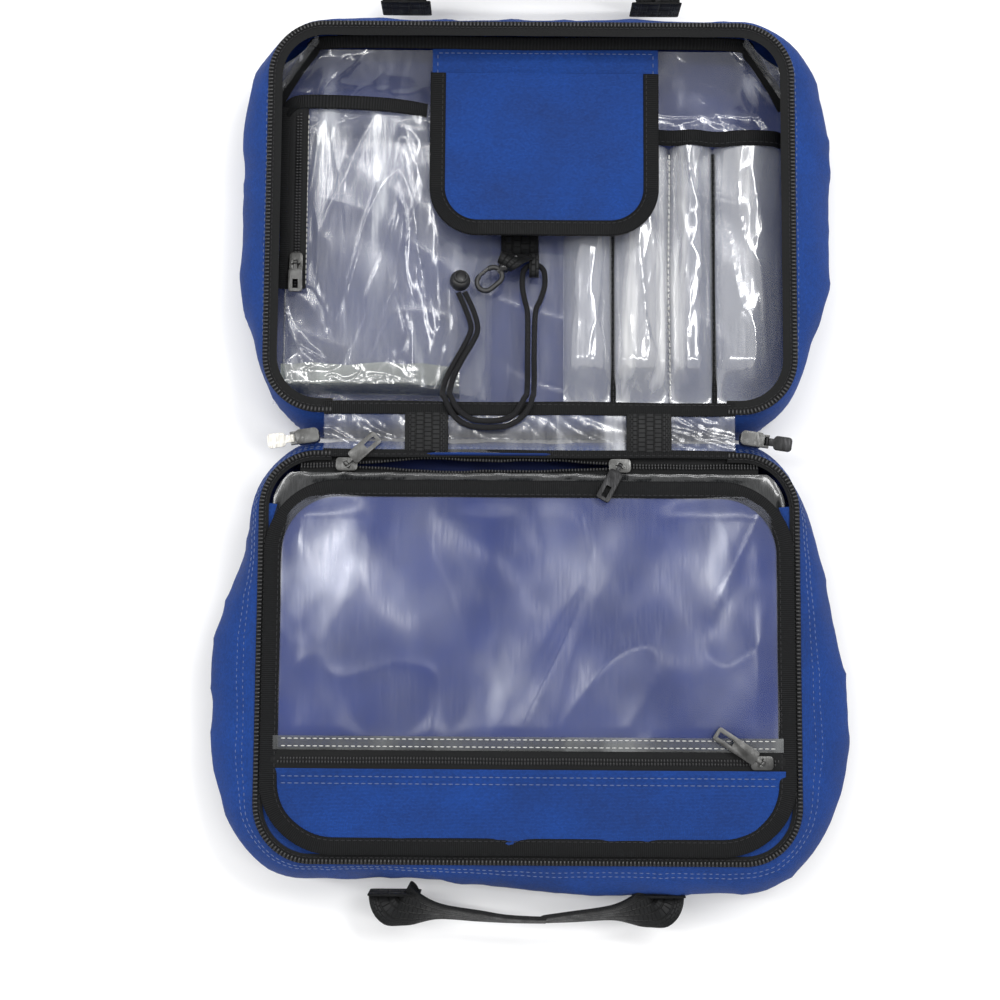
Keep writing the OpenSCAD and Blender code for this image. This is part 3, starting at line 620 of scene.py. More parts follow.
def wallPoint(half, s, t, out=0.0):
    spec = shell[half]
    amount, z = profileAt(half, t)
    inner, way = outline(s, bag["halfW"], bag["near"], bag["far"], bag["rimR"])
    outer, way = outline(s, bag["halfW"] + amount * spec["bulge"],
                         bag["near"] - amount * bag["spineBulge"],
                         bag["far"] + amount * bag["endBulge"],
                         bag["rimR"] + amount * bag["endBulge"])
    x = mix(inner[0], outer[0], reachShare(spec, inner))
    y = mix(inner[1], outer[1], endShare(half, inner))
    # soft dents and drag lines, none at the seams
    hold = math.sin(math.pi * min(1.0, t * 1.02)) ** 0.7 if 0 < t < 0.98 else 0.0
    across, along = math.cos(s * 2 * math.pi) * 155, math.sin(s * 2 * math.pi) * 155
    dent = ripple(across, z * 1.3 + along, 40, spec["seed"]) * 3.2
    drag = ridge(across, z * 0.9 + along, 27, spec["seed"] + 1, 24, 1.8) * 1.3
    pucker = ripple(across, z * 0.5 + along, 9, spec["seed"] + 2) * 0.45
    push = (dent + drag + pucker - 1.2) * hold
    if way[1] < -0.6:
        push = min(0.0, push) * 0.5
    return side(half, Vector((x, y, z)) + way * (push + out))


def makeShell(half, body):
    spec = shell[half]
    names = [half + "_wall", half + "_panel", half + "_liner", half + "_board"]
    wall = wrap(half + "Wall", 260, 30, lambda u, v: wallPoint(half, u, v), (1090, 72),
                closed=(True, False))
    applyModifier(wall, "SOLIDIFY", thickness=1.2 * mm, offset=0, use_even_offset=True)
    finishPiece(wall, body, "shell", names[0], look=cordura)
    grow = 0.93

    def disc(u, v, z, inset, dome, seed):
        rim = outline(u, bag["halfW"] + grow * spec["bulge"] - inset,
                      bag["near"] - grow * bag["spineBulge"] + inset,
                      bag["far"] + grow * bag["endBulge"] - inset,
                      bag["rimR"] + grow * bag["endBulge"] - inset)[0]
        inner = rimPoint(u)[0]
        x = mix(inner[0], rim[0], reachShare(spec, inner))
        rim[1] = mix(inner[1], rim[1], endShare(half, inner))
        centre = Vector((0, bag["middle"], 0))
        at = centre + (Vector((x, rim[1], 0)) - centre) * v
        lift = dome * (1 - v ** 4) + ripple(at[0], at[1], 46, seed) * 0.9 * (1 - v ** 6)
        return side(half, (at[0], at[1], z + lift))

    base = spec["base"]
    panel = wrap(half + "Panel", 160, 24, lambda u, v: disc(u, v, base + 1.0, 0.0, 0.0, 11),
                 (1000, 200), closed=(True, False), flat=True, shrink=True, thick=1.4)
    finishPiece(panel, body, "shell", names[1], look=cordura)
    board = wrap(half + "Board", 120, 10, lambda u, v: disc(u, v, base + 3.6, 5.0, 0.0, 12),
                 (1000, 200), closed=(True, False), flat=True, shrink=True, thick=3.4)
    finishPiece(board, body, "foam", names[3], look=boardFoam)
    liner = wrap(half + "Liner", 160, 40, lambda u, v: disc(u, v, base + 6.4, 4.0, 0.4, 13),
                 (1000, 200), closed=(True, False), flat=True, shrink=True, thick=0.6)
    finishPiece(liner, body, "lining", names[2], look=liningCloth)
    rows = {"front": [(0.955, 3.6), (0.075, 3.8)], "back": [(0.9, 3.4), (0.865, 3.4), (0.075, 3.8)]}
    for k, (t, pitch) in enumerate(rows[half]):
        line = [wallPoint(half, i / 400, t, 0.7) for i in range(400)]
        higher = [wallPoint(half, i / 400, t + 0.02, 0.7) for i in range(400)]
        placed = walk(line, pitch, True)
        above = walk(higher, pitch * lengthOf(higher) / lengthOf(line), True)
        full = []
        for (point, tangent), higherAt in zip(placed, above):
            normal = tangent.cross(higherAt[0] - point)
            if normal.dot(point - side(half, (0, bag["middle"], 20))) < 0:
                normal = -normal
            full.append((point + normal.normalized() * 0.12, tangent, normal.normalized()))
        row = spread(f"{half}WallStitch{k + 1}", stitchModel(pitch * 0.72, 0.8), full, paleThread)
        finishPiece(row, body, "shell")
    # main zip: tape and a half chain of teeth round three sides of the rim
    start = (bag["halfW"] - bag["rimR"]) / bag["zipLoop"] + bag["zipGap"]
    ring = [i / 300 for i in range(301)]
    around = [mix(start, 1 - start, r) for r in ring]

    def tape(u, v):
        s = mix(start, 1 - start, u)
        point = rimPoint(s, mix(1.9, spec["tape"], v))[0]
        droop = 0.9 * v * v + ripple(point[0], point[1], 16, 21) * 0.35 * v
        return side(half, (point[0], point[1], 55.5 - droop))

    zipBand = wrap(half + "ZipTape", 300, 8, tape, (820, 10), thick=0.9)
    finishPiece(zipBand, body, "zip", half + "_zip", look=zipTape)
    line = [side(half, rimPoint(s, 0.3)[0] + Vector((0, 0, 56.0))) for s in around]
    teeth = [(p, t.cross(Vector((0, 0, 1))), Vector((0, 0, 1))) for p, t in walk(line, 2.1)]
    teeth = [(p, n.cross(Vector((0, 0, 1))), z) for p, n, z in teeth]
    chain = spread(half + "ZipTeeth", toothModel(2.7, 2.1, 1.5), teeth, zipTooth)
    finishPiece(chain, body, "zip")
    seam = [side(half, rimPoint(s, -1.8)[0] + Vector((0, 0, 56.0))) for s in around]
    row = stitchRow(half + "TapeStitch", seam, (0, 0, 1), 3.0, blackThread, width=0.6)
    finishPiece(row, body, "zip")

    def facing(u, v):
        point = rimPoint(mix(0.165, 0.835, u), mix(-0.8, -13, v))[0]
        sag = 2.4 * v + ripple(point[0], point[1], 24, 22) * 0.9 * v
        return side(half, (point[0], point[1], 54.4 - sag))

    if half == "back":
        turned = wrap("backRimFacing", 260, 8, facing, (700, 13), thick=0.9)
        finishPiece(turned, body, "shell", look=cordura)


for half, body in (("front", "front_half"), ("back", "back_half")):
    makeShell(half, body)
print("shells made")


# Spine: clear film, two ribbed webs and a bound edge on each rim
spine = {"halfW": 114, "reach": 11.7, "z": 54.4, "webs": ((-57, 24), (66, 25)), "webReach": 10.6,
         "webThick": 1.1}


def spineFilm(u, v):
    x, y = mix(-spine["halfW"], spine["halfW"], u), mix(-spine["reach"], spine["reach"], v)
    end = abs(u - 0.5) * 2
    fold = ridge(x, y, 9, 31, 62, 3) * 0.7 + ripple(x, y, 5, 32, -20, 2) * 0.5
    fold *= mix(0.6, 1.5, smooth((end - 0.5) / 0.4)) * math.sin(math.pi * v)
    return (x, y, spine["z"] + min(fold, 1.6) * 0.8 - 0.5 * math.sin(math.pi * v))


film = wrap("spineFilm", 190, 22, spineFilm, (228, 23.4), thick=0.6)
paint(film, spineVinyl)
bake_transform(film)
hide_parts("front_spine", "back_spine")

for k, (x, width) in enumerate(spine["webs"]):
    line = [(x, y, 56.1 + 0.7 * math.cos(y / 10 * 1.5)) for y in np.linspace(
        -spine["webReach"], spine["webReach"], 25)]
    web = band(f"hingeWeb{k + 1}", line, [(1, 0, 0)] * 25, width, spine["webThick"], around=20)
    paint(web, carryWeb)
    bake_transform(web)
    if k == 0:
        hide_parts("front_hinge_webs", "back_hinge_webs")

def underCord(half, x):
    # the back edge sits lower where the folded cord comes down on it as the bag closes
    return 1.4 * smooth((x + 60) / 8) * smooth((16 - x) / 8) if half == "back" else 0.0


for half, body, inner, outer in (("front", "front_half", 9.6, 17.2),
                                 ("back", "back_half", 9.6, 14.2)):
    middle, width = (inner + outer) / 2, outer - inner
    line = [side(half, (x, middle + 0.25 * math.sin(x / 17),
                        55.6 + 0.25 * math.sin(x / 23) - underCord(half, x)))
            for x in np.linspace(-114, 114, 90)]
    edge = band(half + "SpineBinding", line, [(0, 1, 0)] * 90, width, 1.3, around=16)
    finishPiece(edge, body, "binding", half + "_spine_binding", look=bindingTape)
    seam = [side(half, (x, outer - 1.6, 56.2 - underCord(half, x)))
            for x in np.linspace(-112, 112, 90)]
    row = stitchRow(half + "SpineStitch", seam, (0, 0, 1), 3.2, blackThread, width=0.6, lift=0.1)
    finishPiece(row, body, "binding")
print("spine made")

# Compartment zip: two tapes that part between the two sliders
split = {"left": -101, "right": 50, "near": 12.3, "far": 22.6, "chain": 18.2, "z": 52.0,
         "reach": 127}


def gapAt(x):
    if x <= split["left"] or x >= split["right"]:
        return 0.0
    t = (x - split["left"]) / (split["right"] - split["left"])
    return 3.4 * math.sin(math.pi * t) ** 0.8 * (0.75 + 0.5 * ripple(x, 0, 30, 41)) + 0.2


def waveAt(x):
    return 0.8 * ripple(x, 3, 34, 42) + 0.5 * ripple(x, 8, 14, 43)


def zipSide(x, edge):
    return split["chain"] + waveAt(x) + edge * (gapAt(x) + 0.15)


for name, edge, outer in (("rimSide", -1, split["near"]), ("coverSide", 1, split["far"])):
    def tape(u, v, edge=edge, outer=outer):
        x = mix(-split["reach"], split["reach"], u)
        y = mix(zipSide(x, edge), outer, v)
        lift = 0.5 * ripple(x, y, 12, 44) + 0.5 * (1 - v)
        return (x, -y, split["z"] - 0.5 + lift)

    strip = wrap(name + "Tape", 200, 5, tape, (254, 7), thick=0.7)
    paint(strip, zipTape)
    nodes = ["compartment_zip"] if edge < 0 else []
    finishPiece(strip, "back_half", "zip", *nodes)
    line = [Vector((x, -zipSide(x, edge) - edge * 0.6, split["z"] + 0.7))
            for x in np.linspace(-split["reach"], split["reach"], 160)]
    frames = [(p, t, Vector((0, 0, 1))) for p, t in walk(line, 1.7)]
    chain = spread(name + "Teeth", toothModel(1.9, 1.7, 1.3), frames, zipTooth)
    finishPiece(chain, "back_half", "zip")

# Compartment cover: blue sheet, window, zip, lower panel, binding, gusset
cover = {"x": 145, "near": 27, "far": 231, "r": 40, "edge": 9.5, "z": 56.6, "zip": 179.5,
         "strip": (166.5, 174)}


def coverHeight(x, y):
    u, v = abs(x) / cover["x"], (y - cover["near"]) / (cover["far"] - cover["near"])
    rise = 1.6 * (1 - u ** 4) * math.sin(math.pi * min(1.0, max(0.0, v)))
    return rise + 0.5 * ripple(x, y, 60, 51)


def clipCorner(x, y, inset):
    r = cover["r"] - inset
    cx = cover["x"] - inset - r
    if abs(x) <= cx:
        return x
    for edge, way in ((cover["near"] + inset + r, -1), (cover["far"] - inset - r, 1)):
        gap = (y - edge) * way
        if gap > 0:
            reach = cx + math.sqrt(max(0.0, r * r - gap * gap))
            return math.copysign(min(abs(x), reach), x)
    return x


def coverSheet(name, y0, y1, z, inset, across, along, rough, thick=0.7):
    def place(u, v):
        y = mix(y0, y1, v)
        reach = cover["x"] - inset
        edge = abs(clipCorner(reach, y, inset))
        x = mix(-edge, edge, u)
        return (x, -y, z + coverHeight(x, y) + rough(x, y))
    return wrap(name, across, along, place, (2 * cover["x"], y1 - y0), thick=thick)


near, far = cover["near"] + 6, cover["far"] - 6
sheetBlue = coverSheet("coverPanel", near, far, cover["z"] + 0.4, 6, 90, 70,
                       lambda x, y: 0.0, thick=0.6)
finishPiece(sheetBlue, "cover", "lining", "cover_panel", look=liningCloth)


def windowFolds(x, y):
    edge = min(1.0, (y - near) / 16, (cover["zip"] - 6 - y) / 12, (cover["x"] - 8 - abs(x)) / 14)
    folds = ripple(x, y, 64, 62, 20, 1.5) * 4.6 + ripple(x, y, 34, 61, -30, 1.8) * 2.0
    folds += ridge(x, y, 40, 63, 28, 3.0) * 1.3 + ripple(x, y, 17, 64, 30, 2) * 0.45 + 1.8
    # pressed flat against the sheet below, never through it
    folds = folds if folds > 0 else 0.4 * math.tanh(folds / 0.4)
    return smooth(edge) * folds


window = coverSheet("coverWindow", near, cover["zip"] - 5, cover["z"] + 1.5, 6, 150, 84,
                    windowFolds, thick=0.5)
finishPiece(window, "cover", "vinyl", "cover_window", look=windowVinyl)

guard = coverSheet("windowGuard", *cover["strip"], cover["z"] + 2.6, 7, 90, 4,
                   lambda x, y: 0.35 * ripple(x, y, 14, 65), thick=0.6)
finishPiece(guard, "cover", "vinyl", look=guardVinyl)
for k, y in enumerate((168, 172)):
    seam = [(x, -y, cover["z"] + 3.2 + coverHeight(x, y) + 0.35 * ripple(x, y, 14, 65))
            for x in np.linspace(-134, 134, 90)]
    row = stitchRow(f"guardStitch{k + 1}", seam, (0, 0, 1), 3.4, whiteThread, width=0.7)
    finishPiece(row, "cover", "vinyl")

tapeStrip = coverSheet("windowZipTape", cover["zip"] - 6.5, cover["zip"] + 6.5, cover["z"] + 1.9, 6,
                       120, 8, lambda x, y: 0.5 * math.exp(-((y - cover["zip"]) / 2.5) ** 2),
                       thick=0.8)
finishPiece(tapeStrip, "cover", "zip", "window_zip", look=zipTape)
line = [Vector((x, -cover["zip"] - 0.3 * ripple(x, 0, 30, 66), cover["z"] + 2.75
                + coverHeight(x, cover["zip"]))) for x in np.linspace(-135, 135, 100)]
for edge in (-1, 1):
    frames = [(p + Vector((0.85 * edge, 0.95 * edge, 0)), t, Vector((0, 0, 1)))
              for p, t in walk(line, 1.7)]
    chain = spread(f"windowZipTeeth{(edge + 3) // 2}", toothModel(1.7, 1.7, 1.1), frames, zipTooth)
    finishPiece(chain, "cover", "zip")

lower = coverSheet("coverLowerPanel", cover["zip"] + 4.5, far, cover["z"] + 1.4, 6, 110, 26,
                   lambda x, y: 0.9 * smooth((cover["zip"] + 12 - y) / 8) + 0.6 * ripple(
                       x, y, 30, 67) + 0.3 * ridge(x, y, 22, 68, 40, 2), thick=0.9)
finishPiece(lower, "cover", "shell", "cover_lower_panel", look=cordura)
for k, y in enumerate((188.2, 192.0)):
    lift = 0.9 * smooth((cover["zip"] + 12 - y) / 8)
    seam = [(x, -y, cover["z"] + 2.0 + lift + coverHeight(x, y) + 0.6 * ripple(x, y, 30, 67)
             + 0.3 * ridge(x, y, 22, 68, 40, 2)) for x in np.linspace(-134, 134, 90)]
    row = stitchRow(f"lowerStitch{k + 1}", seam, (0, 0, 1), 3.6, paleThread, width=0.7)
    finishPiece(row, "cover", "shell")


def coverEdge(s, inset):
    point, way = rounded(s, cover["x"] - inset, cover["near"] + inset, cover["far"] - inset,
                         cover["r"] - inset)
    point[1] -= 0.9 * smooth((point[1] - 205) / 15)  # room for the edge to turn over the zip
    z = cover["z"] + 1.0 + coverHeight(point[0], point[1]) * 0.55
    return Vector((point[0], -point[1], z)), Vector((way[0], -way[1], 0))


steps = 260
line = [coverEdge(i / steps, cover["edge"] / 2) for i in range(steps)]
edge = band("coverBinding", [p + Vector((0, 0, 0.25 * math.sin(i / 3.1))) for i, (p, w) in
                             enumerate(line)], [w for p, w in line], cover["edge"], 3.0,
            closed=True, around=20)
finishPiece(edge, "cover", "binding", "cover_binding", look=bindingTape)
seam = [coverEdge(i / steps, cover["edge"] - 1.6)[0] + Vector((0, 0, 1.55)) for i in range(steps)]
row = stitchRow("coverBindingStitch", seam, (0, 0, 1), 3.2, blackThread, width=0.6, closed=True)
finishPiece(row, "cover", "binding")


def gussetSheet(u, v):
    # runs round both near corners, where the cover is cut rounder than the rim
    s = mix(-0.185, 0.185, u)
    outer = rimPoint(s, -5)[0]
    outer[1] = max(22.4, outer[1])
    inner = rounded(s, cover["x"] - 4, cover["near"] + 4, cover["far"] - 4, cover["r"] - 4)[0]
    x, y = mix(outer[0], inner[0], v), mix(outer[1], inner[1], v)
    sag = 1.6 * math.sin(math.pi * v) * (0.5 + 0.9 * abs(ripple(x, y, 26, 71)))
    z = mix(52.4, 56.6, smooth(v * 1.1)) - sag
    z += (0.35 * ripple(x, y, 8, 72) + 0.6 * ridge(x, y, 13, 73, 35, 2)) * math.sin(math.pi * v)
    return (x, -y, z)


fold = wrap("coverGusset", 230, 16, gussetSheet, (360, 12), thick=0.6)
finishPiece(fold, "back_half", "vinyl", "cover_gusset", look=gussetVinyl)
print("cover made")

# Front tray: full-width clear pocket with its bound edge
tray = {"x": 149, "near": 21.5, "far": 227.5, "bend": 195.5, "lift": 19, "cut": 26, "z": 14.4,
        "edge": 6}


def trayHeight(y):
    t = max(0.0, (y - tray["bend"]) / (tray["far"] - tray["bend"]))
    return tray["z"] + tray["lift"] * t


def trayReach(y):
    return tray["x"] - max(0.0, y - (tray["far"] - tray["cut"]))


def trayFolds(x, y):
    corner = smooth((abs(x) - 70) / 60) * smooth((y - 165) / 40)
    edge = min(1.0, (tray["x"] - abs(x)) / 6, (y - tray["near"]) / 6, (tray["far"] - y) / 5 + 0.1)
    soft = ridge(x, y, 40, 81, 70, 2.5) * 0.5 + ripple(x, y, 26, 82, 30, 1.6) * 0.7
    gathered = ridge(x, y, 15, 83, 52 if x > 0 else -52, 3.5) * 2.2
    gathered += ridge(x, y, 8, 84, 30 if x > 0 else -30, 3.0) * 0.9
    above = smooth((y - 180) / 8) * ridge(x, y, 11, 85, 80, 2.6) * 0.9
    return max(0.0, edge) * (soft + gathered * corner + above)


def trayPlace(u, v):
    y = mix(tray["near"], tray["far"], v)
    reach = trayReach(y)
    x = mix(-reach, reach, u)
    return (x, y, trayHeight(y) + trayFolds(x, y))


pocket = wrap("fullPocket", 170, 122, trayPlace, (298, 206), thick=0.5)
finishPiece(pocket, "front_half", "vinyl", "full_pocket", look=pocketVinyl)

top = tray["far"] + tray["edge"] / 2
bend = tray["x"] - tray["cut"]
line = [(-tray["x"] - 1, tray["far"] - tray["cut"] - 2), (-tray["x"] + 8, tray["far"] - 16),
        (-bend - 5, top - 5), (-bend + 4, top), (-60, top + 0.6), (0, top), (60, top + 0.6),
        (bend - 4, top), (bend + 5, top - 5), (tray["x"] - 8, tray["far"] - 16),
        (tray["x"] + 1, tray["far"] - tray["cut"] - 2)]
line = smoothLine([(x, y, trayHeight(y) + 1.2) for x, y in line], 12)
edge = band("fullPocketBinding", line, [(0, 1, 0.5)] * len(line), 7.4, 2.2, around=18)
finishPiece(edge, "front_half", "binding", "full_pocket_binding", look=bindingTape)

for k, way in enumerate((-1, 1)):
    def corner(u, v, way=way):
        a = Vector((mix(tray["x"] + 1, bend, u), mix(tray["far"] - tray["cut"], top, u), 0))
        far = Vector((mix(tray["x"] - 4, bend, u), mix(tray["far"] - 16, top + 1, u), 0))
        out = Vector((1, 1, 0)).normalized() * -2.5 * math.sin(math.pi * u)
        at = a.lerp(far + out, v)
        crease = ridge(at[0], at[1], 7, 86 + k, 45, 2) * 3.4 * math.sin(math.pi * v)
        z = mix(trayHeight(at[1]) + 1.5, 46, v ** 0.8) + crease
        return (at[0] * way, at[1], z)

    gather = wrap(f"cornerFilm{k + 1}", 40, 26, corner, (36, 20), thick=0.5)
    finishPiece(gather, "front_half", "vinyl", look=cornerVinyl)
print("full pocket made")


# Film domes: gusseted pouch on the left, four tool pockets on the right
def domeAt(t, edge0, edge1, base, top):
    if t < edge0:
        f = t / edge0
        return mix(base[0], top[0], f), f
    if t > 1 - edge1:
        f = (1 - t) / edge1
        return mix(base[1], top[1], f), f
    f = (t - edge0) / (1 - edge0 - edge1)
    return mix(top[0], top[1], f), 1.0


pouch = {"base": (-143, -22, 21.5, 195.5), "top": (-140, -66, 30, 193.5), "z": 14.9, "rise": 24}


def pouchFolds(x, y):
    long = ridge(x, y, 22, 91, 8, 4.0) * 0.9 + ridge(x, y, 13, 92, -16, 4.0) * 0.7
    left = smooth((-108 - x) / 22) * smooth((115 - y) / 50)
    toBottom = ridge(x, y, 12, 93, 34, 4.0) * 2.4 * left
    right = ridge(x, y, 9, 94, 4, 5.0) * 1.3 + ridge(x, y, 17, 95, 12, 4) * 1.2
    right = smooth((x + 84) / 16) * right
    return long + toBottom + right + 1.2 * ripple(x, y, 40, 96)


def pouchPlace(u, v):
    x, fx = domeAt(u, 0.07, 0.3, pouch["base"][:2], pouch["top"][:2])
    y, fy = domeAt(v, 0.09, 0.05, pouch["base"][2:], pouch["top"][2:])
    h = smooth(min(fx, fy)) if u < 0.2 else min(fx ** 0.75, smooth(fy))
    lift = 1.4 * math.sin(math.pi * u) * math.sin(math.pi * v)
    return (x, y, pouch["z"] + pouch["rise"] * h + h * (lift + pouchFolds(x, y) * 0.8 - 1.4))


bagFilm = wrap("pouchFilm", 110, 120, pouchPlace, (150, 190), thick=0.5)
finishPiece(bagFilm, "front_half", "vinyl", "pouch_film", look=pouchVinyl)


def stripPlace(u, v):
    x = mix(-141, -40, u)
    wave = 1.8 * ripple(x, 4, 14, 97)
    y = mix(25.5, 41 + wave, v)
    drop = smooth((x + 70) / 34) * 13
    z = pouch["z"] + pouch["rise"] * smooth((y - 21.5) / 8.5) + 0.9 - drop
    return (x, y, z + ridge(x, y, 7, 98, 80, 2) * 0.8)


foot = wrap("pouchGusset", 90, 16, stripPlace, (101, 18), thick=0.5)
paint(foot, clearFilm("gussetFilm", (0.3, 0.33, 0.31), 0.3, 0.6, turn=85))
finishPiece(foot, "front_half", "vinyl")

zPouch = pouch["z"] + pouch["rise"]
topLine = smoothLine([(-141.5, 186, zPouch), (-139, 190, zPouch + 0.8), (-132, 193.4, zPouch + 1.2),
                      (-110, 193.2, zPouch + 1.8), (-88, 192.2, zPouch + 1.8),
                      (-72, 191, zPouch + 0.8), (-60, 190, zPouch - 2.5)], 10)
edge = band("pouchTopBinding", topLine, [(0.1, 1, 0)] * len(topLine), 8.0, 2.4, around=18)
finishPiece(edge, "front_half", "binding", "pouch_binding", look=bindingTape)
sideLine = [(-140.8 + 0.5 * math.sin(y / 14), y, zPouch + 1.0) for y in np.linspace(84, 190, 60)]
edge = band("pouchSideBinding", sideLine, [(1, 0, 0)] * 60, 5.5, 2.0, around=16)
finishPiece(edge, "front_half", "binding", look=bindingTape)

tapeLine = [(-133.2, y, zPouch + 0.9 + 0.3 * math.sin(y / 9)) for y in np.linspace(84, 190, 70)]
strip = band("pouchZipTape", tapeLine, [(1, 0, 0)] * 70, 11.0, 0.9, around=14)
finishPiece(strip, "front_half", "zip", "pouch_zip", look=zipTape)
chainLine = [Vector((-133.0, y, zPouch + 1.9)) for y in np.linspace(86, 186, 40)]
for edge in (-1, 1):
    frames = [(p + Vector((0.85 * edge, 0.9 * edge, 0)), t, Vector((0, 0, 1)))
              for p, t in walk(chainLine, 1.7)]
    chain = spread(f"pouchZipTeeth{(edge + 3) // 2}", toothModel(1.7, 1.7, 1.1), frames, zipTooth)
    finishPiece(chain, "front_half", "zip")
seam = [Vector((-127.6, y, zPouch + 1.5)) for y in np.linspace(86, 186, 40)]
row = stitchRow("pouchZipStitch", seam, (0, 0, 1), 3.0, whiteThread, width=0.6)
finishPiece(row, "front_half", "zip")
print("pouch made")

tools = {"edges": (20, 49, 82, 108, 150), "near": 21.5, "far": 175, "rise": 13, "toe": 28}


def toolPlace(i):
    x0, x1 = tools["edges"][i] + 0.4, tools["edges"][i + 1] - 0.4

    def place(u, v):
        y = mix(tools["near"], tools["far"], v)
        arch = math.sin(math.pi * u) ** 0.62
        opening = smooth((y - tools["near"]) / tools["toe"])
        x = mix(x0, x1, u)
        crease = ridge(x, y, 11, 101 + i, 5, 6.0) * 1.0 + ridge(x, y, 6, 111 + i, -7, 6.0) * 0.45
        crease += 1.6 * ripple(x, y, 24, 121 + i, 0, 2.5)
        return (x, y, 14.9 + tools["rise"] * arch * opening * 0.93
                + arch * opening * (crease - 0.9))
    return place


for i in range(4):
    wide = tools["edges"][i + 1] - tools["edges"][i]
    dome = wrap(f"toolPocket{i + 1}", 34, 100, toolPlace(i), (wide + 14, 153), thick=0.5)
    finishPiece(dome, "front_half", "vinyl", *(["tool_pockets"] if i == 0 else []), look=toolVinyl)

for k, (x, thread) in enumerate(((49, blackThread), (82, whiteThread), (108, blackThread))):
    line = [(x + 0.4 * math.sin(y / 21), y, 16.0) for y in np.linspace(23, 172, 50)]
    tape = band(f"toolSeam{k + 1}", line, [(1, 0, 0)] * 50, 3.0 if k != 1 else 2.0, 1.0, around=12)
    finishPiece(tape, "front_half", "binding" if k != 1 else "vinyl",
                look=bindingTape if k != 1 else spineVinyl)
    row = stitchRow(f"toolStitch{k + 1}", [Vector(p) + Vector((0, 0, 0.5)) for p in line],
                    (0, 0, 1), 3.6, thread, width=0.7)
    finishPiece(row, "front_half", "vinyl")

xs = np.linspace(21, 151, 80)


def toolEdgeZ(x):
    for i in range(4):
        a, b = tools["edges"][i], tools["edges"][i + 1]
        if a <= x <= b:
            return 20.5 + 7.4 * math.sin(math.pi * (x - a) / (b - a)) ** 0.6
    return 20.5


line = [(x, 178.4 + 0.8 * ripple(x, 0, 30, 131), toolEdgeZ(x)) for x in xs]
heights = np.convolve([p[2] for p in line], np.ones(9) / 9, mode="same")
line = [(p[0], p[1], max(22.0, h)) for p, h in zip(line, heights)]
edge = band("toolPocketBinding", line, [(0, 1, 0.12)] * len(line), 9.0, 2.4, around=18)
finishPiece(edge, "front_half", "binding", "tool_pocket_binding", look=bindingTape)
row = stitchRow("toolBindingStitch", [Vector(p) + Vector((0, -2.8, 1.3)) for p in line], (0, 0, 1),
                3.2, blackThread, width=0.6)
finishPiece(row, "front_half", "binding")
print("tool pockets made")

# Centre flap on its strip
flap = {"x0": -58, "x1": 74, "near": 116.5, "far": 212.5, "r": 28, "z": 36.9, "edge": 9}


def stripCloth(u, v):
    x, y = mix(flap["x0"] + 1, flap["x1"], u), mix(208.5, 227.5, v)
    return (x, y, 34.6 + 0.35 * ripple(x, y, 14, 141))


cloth = wrap("flapStrip", 80, 14, stripCloth, (131, 19), thick=1.3)
finishPiece(cloth, "front_half", "shell", "flap_strip", look=cordura)
box = [(flap["x0"] + 4, 211.5), (flap["x1"] - 3, 211.5), (flap["x1"] - 3, 225),
       (flap["x0"] + 4, 225)]
for k in range(4):
    a, b = box[k], box[(k + 1) % 4]
    seam = [Vector((mix(a[0], b[0], t), mix(a[1], b[1], t), 35.6)) for t in np.linspace(0, 1, 12)]
    row = stitchRow(f"stripStitch{k + 1}", seam, (0, 0, 1), 3.4, paleThread, width=0.65)
    finishPiece(row, "front_half", "shell")


def flapReach(y, inset):
    r = flap["r"] - inset
    gap = flap["near"] + inset + r - y
    cut = 0.0 if gap <= 0 else r - math.sqrt(max(0.0, r * r - gap * gap))
    return flap["x0"] + inset + cut, flap["x1"] - inset - cut


def flapLift(x, y):
    u = (x - flap["x0"]) / (flap["x1"] - flap["x0"])
    v = (flap["far"] - y) / (flap["far"] - flap["near"])
    return 1.1 * math.sin(math.pi * u) * math.sin(math.pi * min(1, v * 0.9)) + 0.5 * ripple(
        x, y, 40, 142) + 0.15 * ridge(x, y, 18, 143, 60, 2)


def flapPlace(u, v):
    y = mix(flap["far"], flap["near"] + 6, v)
    a, b = flapReach(y, 6)
    x = mix(a, b, u)
    return (x, y, flap["z"] + flapLift(x, y))


cloth = wrap("centreFlap", 80, 60, flapPlace, (120, 90), thick=1.4)
finishPiece(cloth, "flap", "shell", "centre_flap", look=cordura)


def flapRoute(inset):
    r = flap["r"] - inset
    x0, x1, near = flap["x0"] + inset, flap["x1"] - inset, flap["near"] + inset
    route = [(x0, y, (1, 0)) for y in np.linspace(flap["far"] - 0.3, near + r + 3, 24)]
    route += [(x0 + r - r * math.cos(a), near + r - r * math.sin(a), (math.cos(a), math.sin(a)))
              for a in np.linspace(0, math.pi / 2, 18)]
    route += [(x, near, (0, 1)) for x in np.linspace(x0 + r + 3, x1 - r - 3, 22)]
    route += [(x1 - r + r * math.sin(a), near + r - r * math.cos(a), (-math.sin(a), math.cos(a)))
              for a in np.linspace(0, math.pi / 2, 18)]
    route += [(x1, y, (-1, 0)) for y in np.linspace(near + r + 3, flap["far"] - 0.3, 24)]
    return [(Vector((x, y, flap["z"] + 0.2 + flapLift(x, y) * 0.8)), Vector((*w, 0)))
            for x, y, w in route]


route = flapRoute(flap["edge"] / 2)
edge = band("flapBinding", [p for p, w in route], [w for p, w in route], flap["edge"], 2.7,
            around=20)
finishPiece(edge, "flap", "binding", "flap_binding", look=bindingTape)
row = stitchRow("flapStitch", [p + Vector((0, 0, 1.25)) for p, w in flapRoute(flap["edge"] - 1.8)],
                (0, 0, 1), 3.2, blackThread, width=0.6)
finishPiece(row, "flap", "binding")
print("flap made")

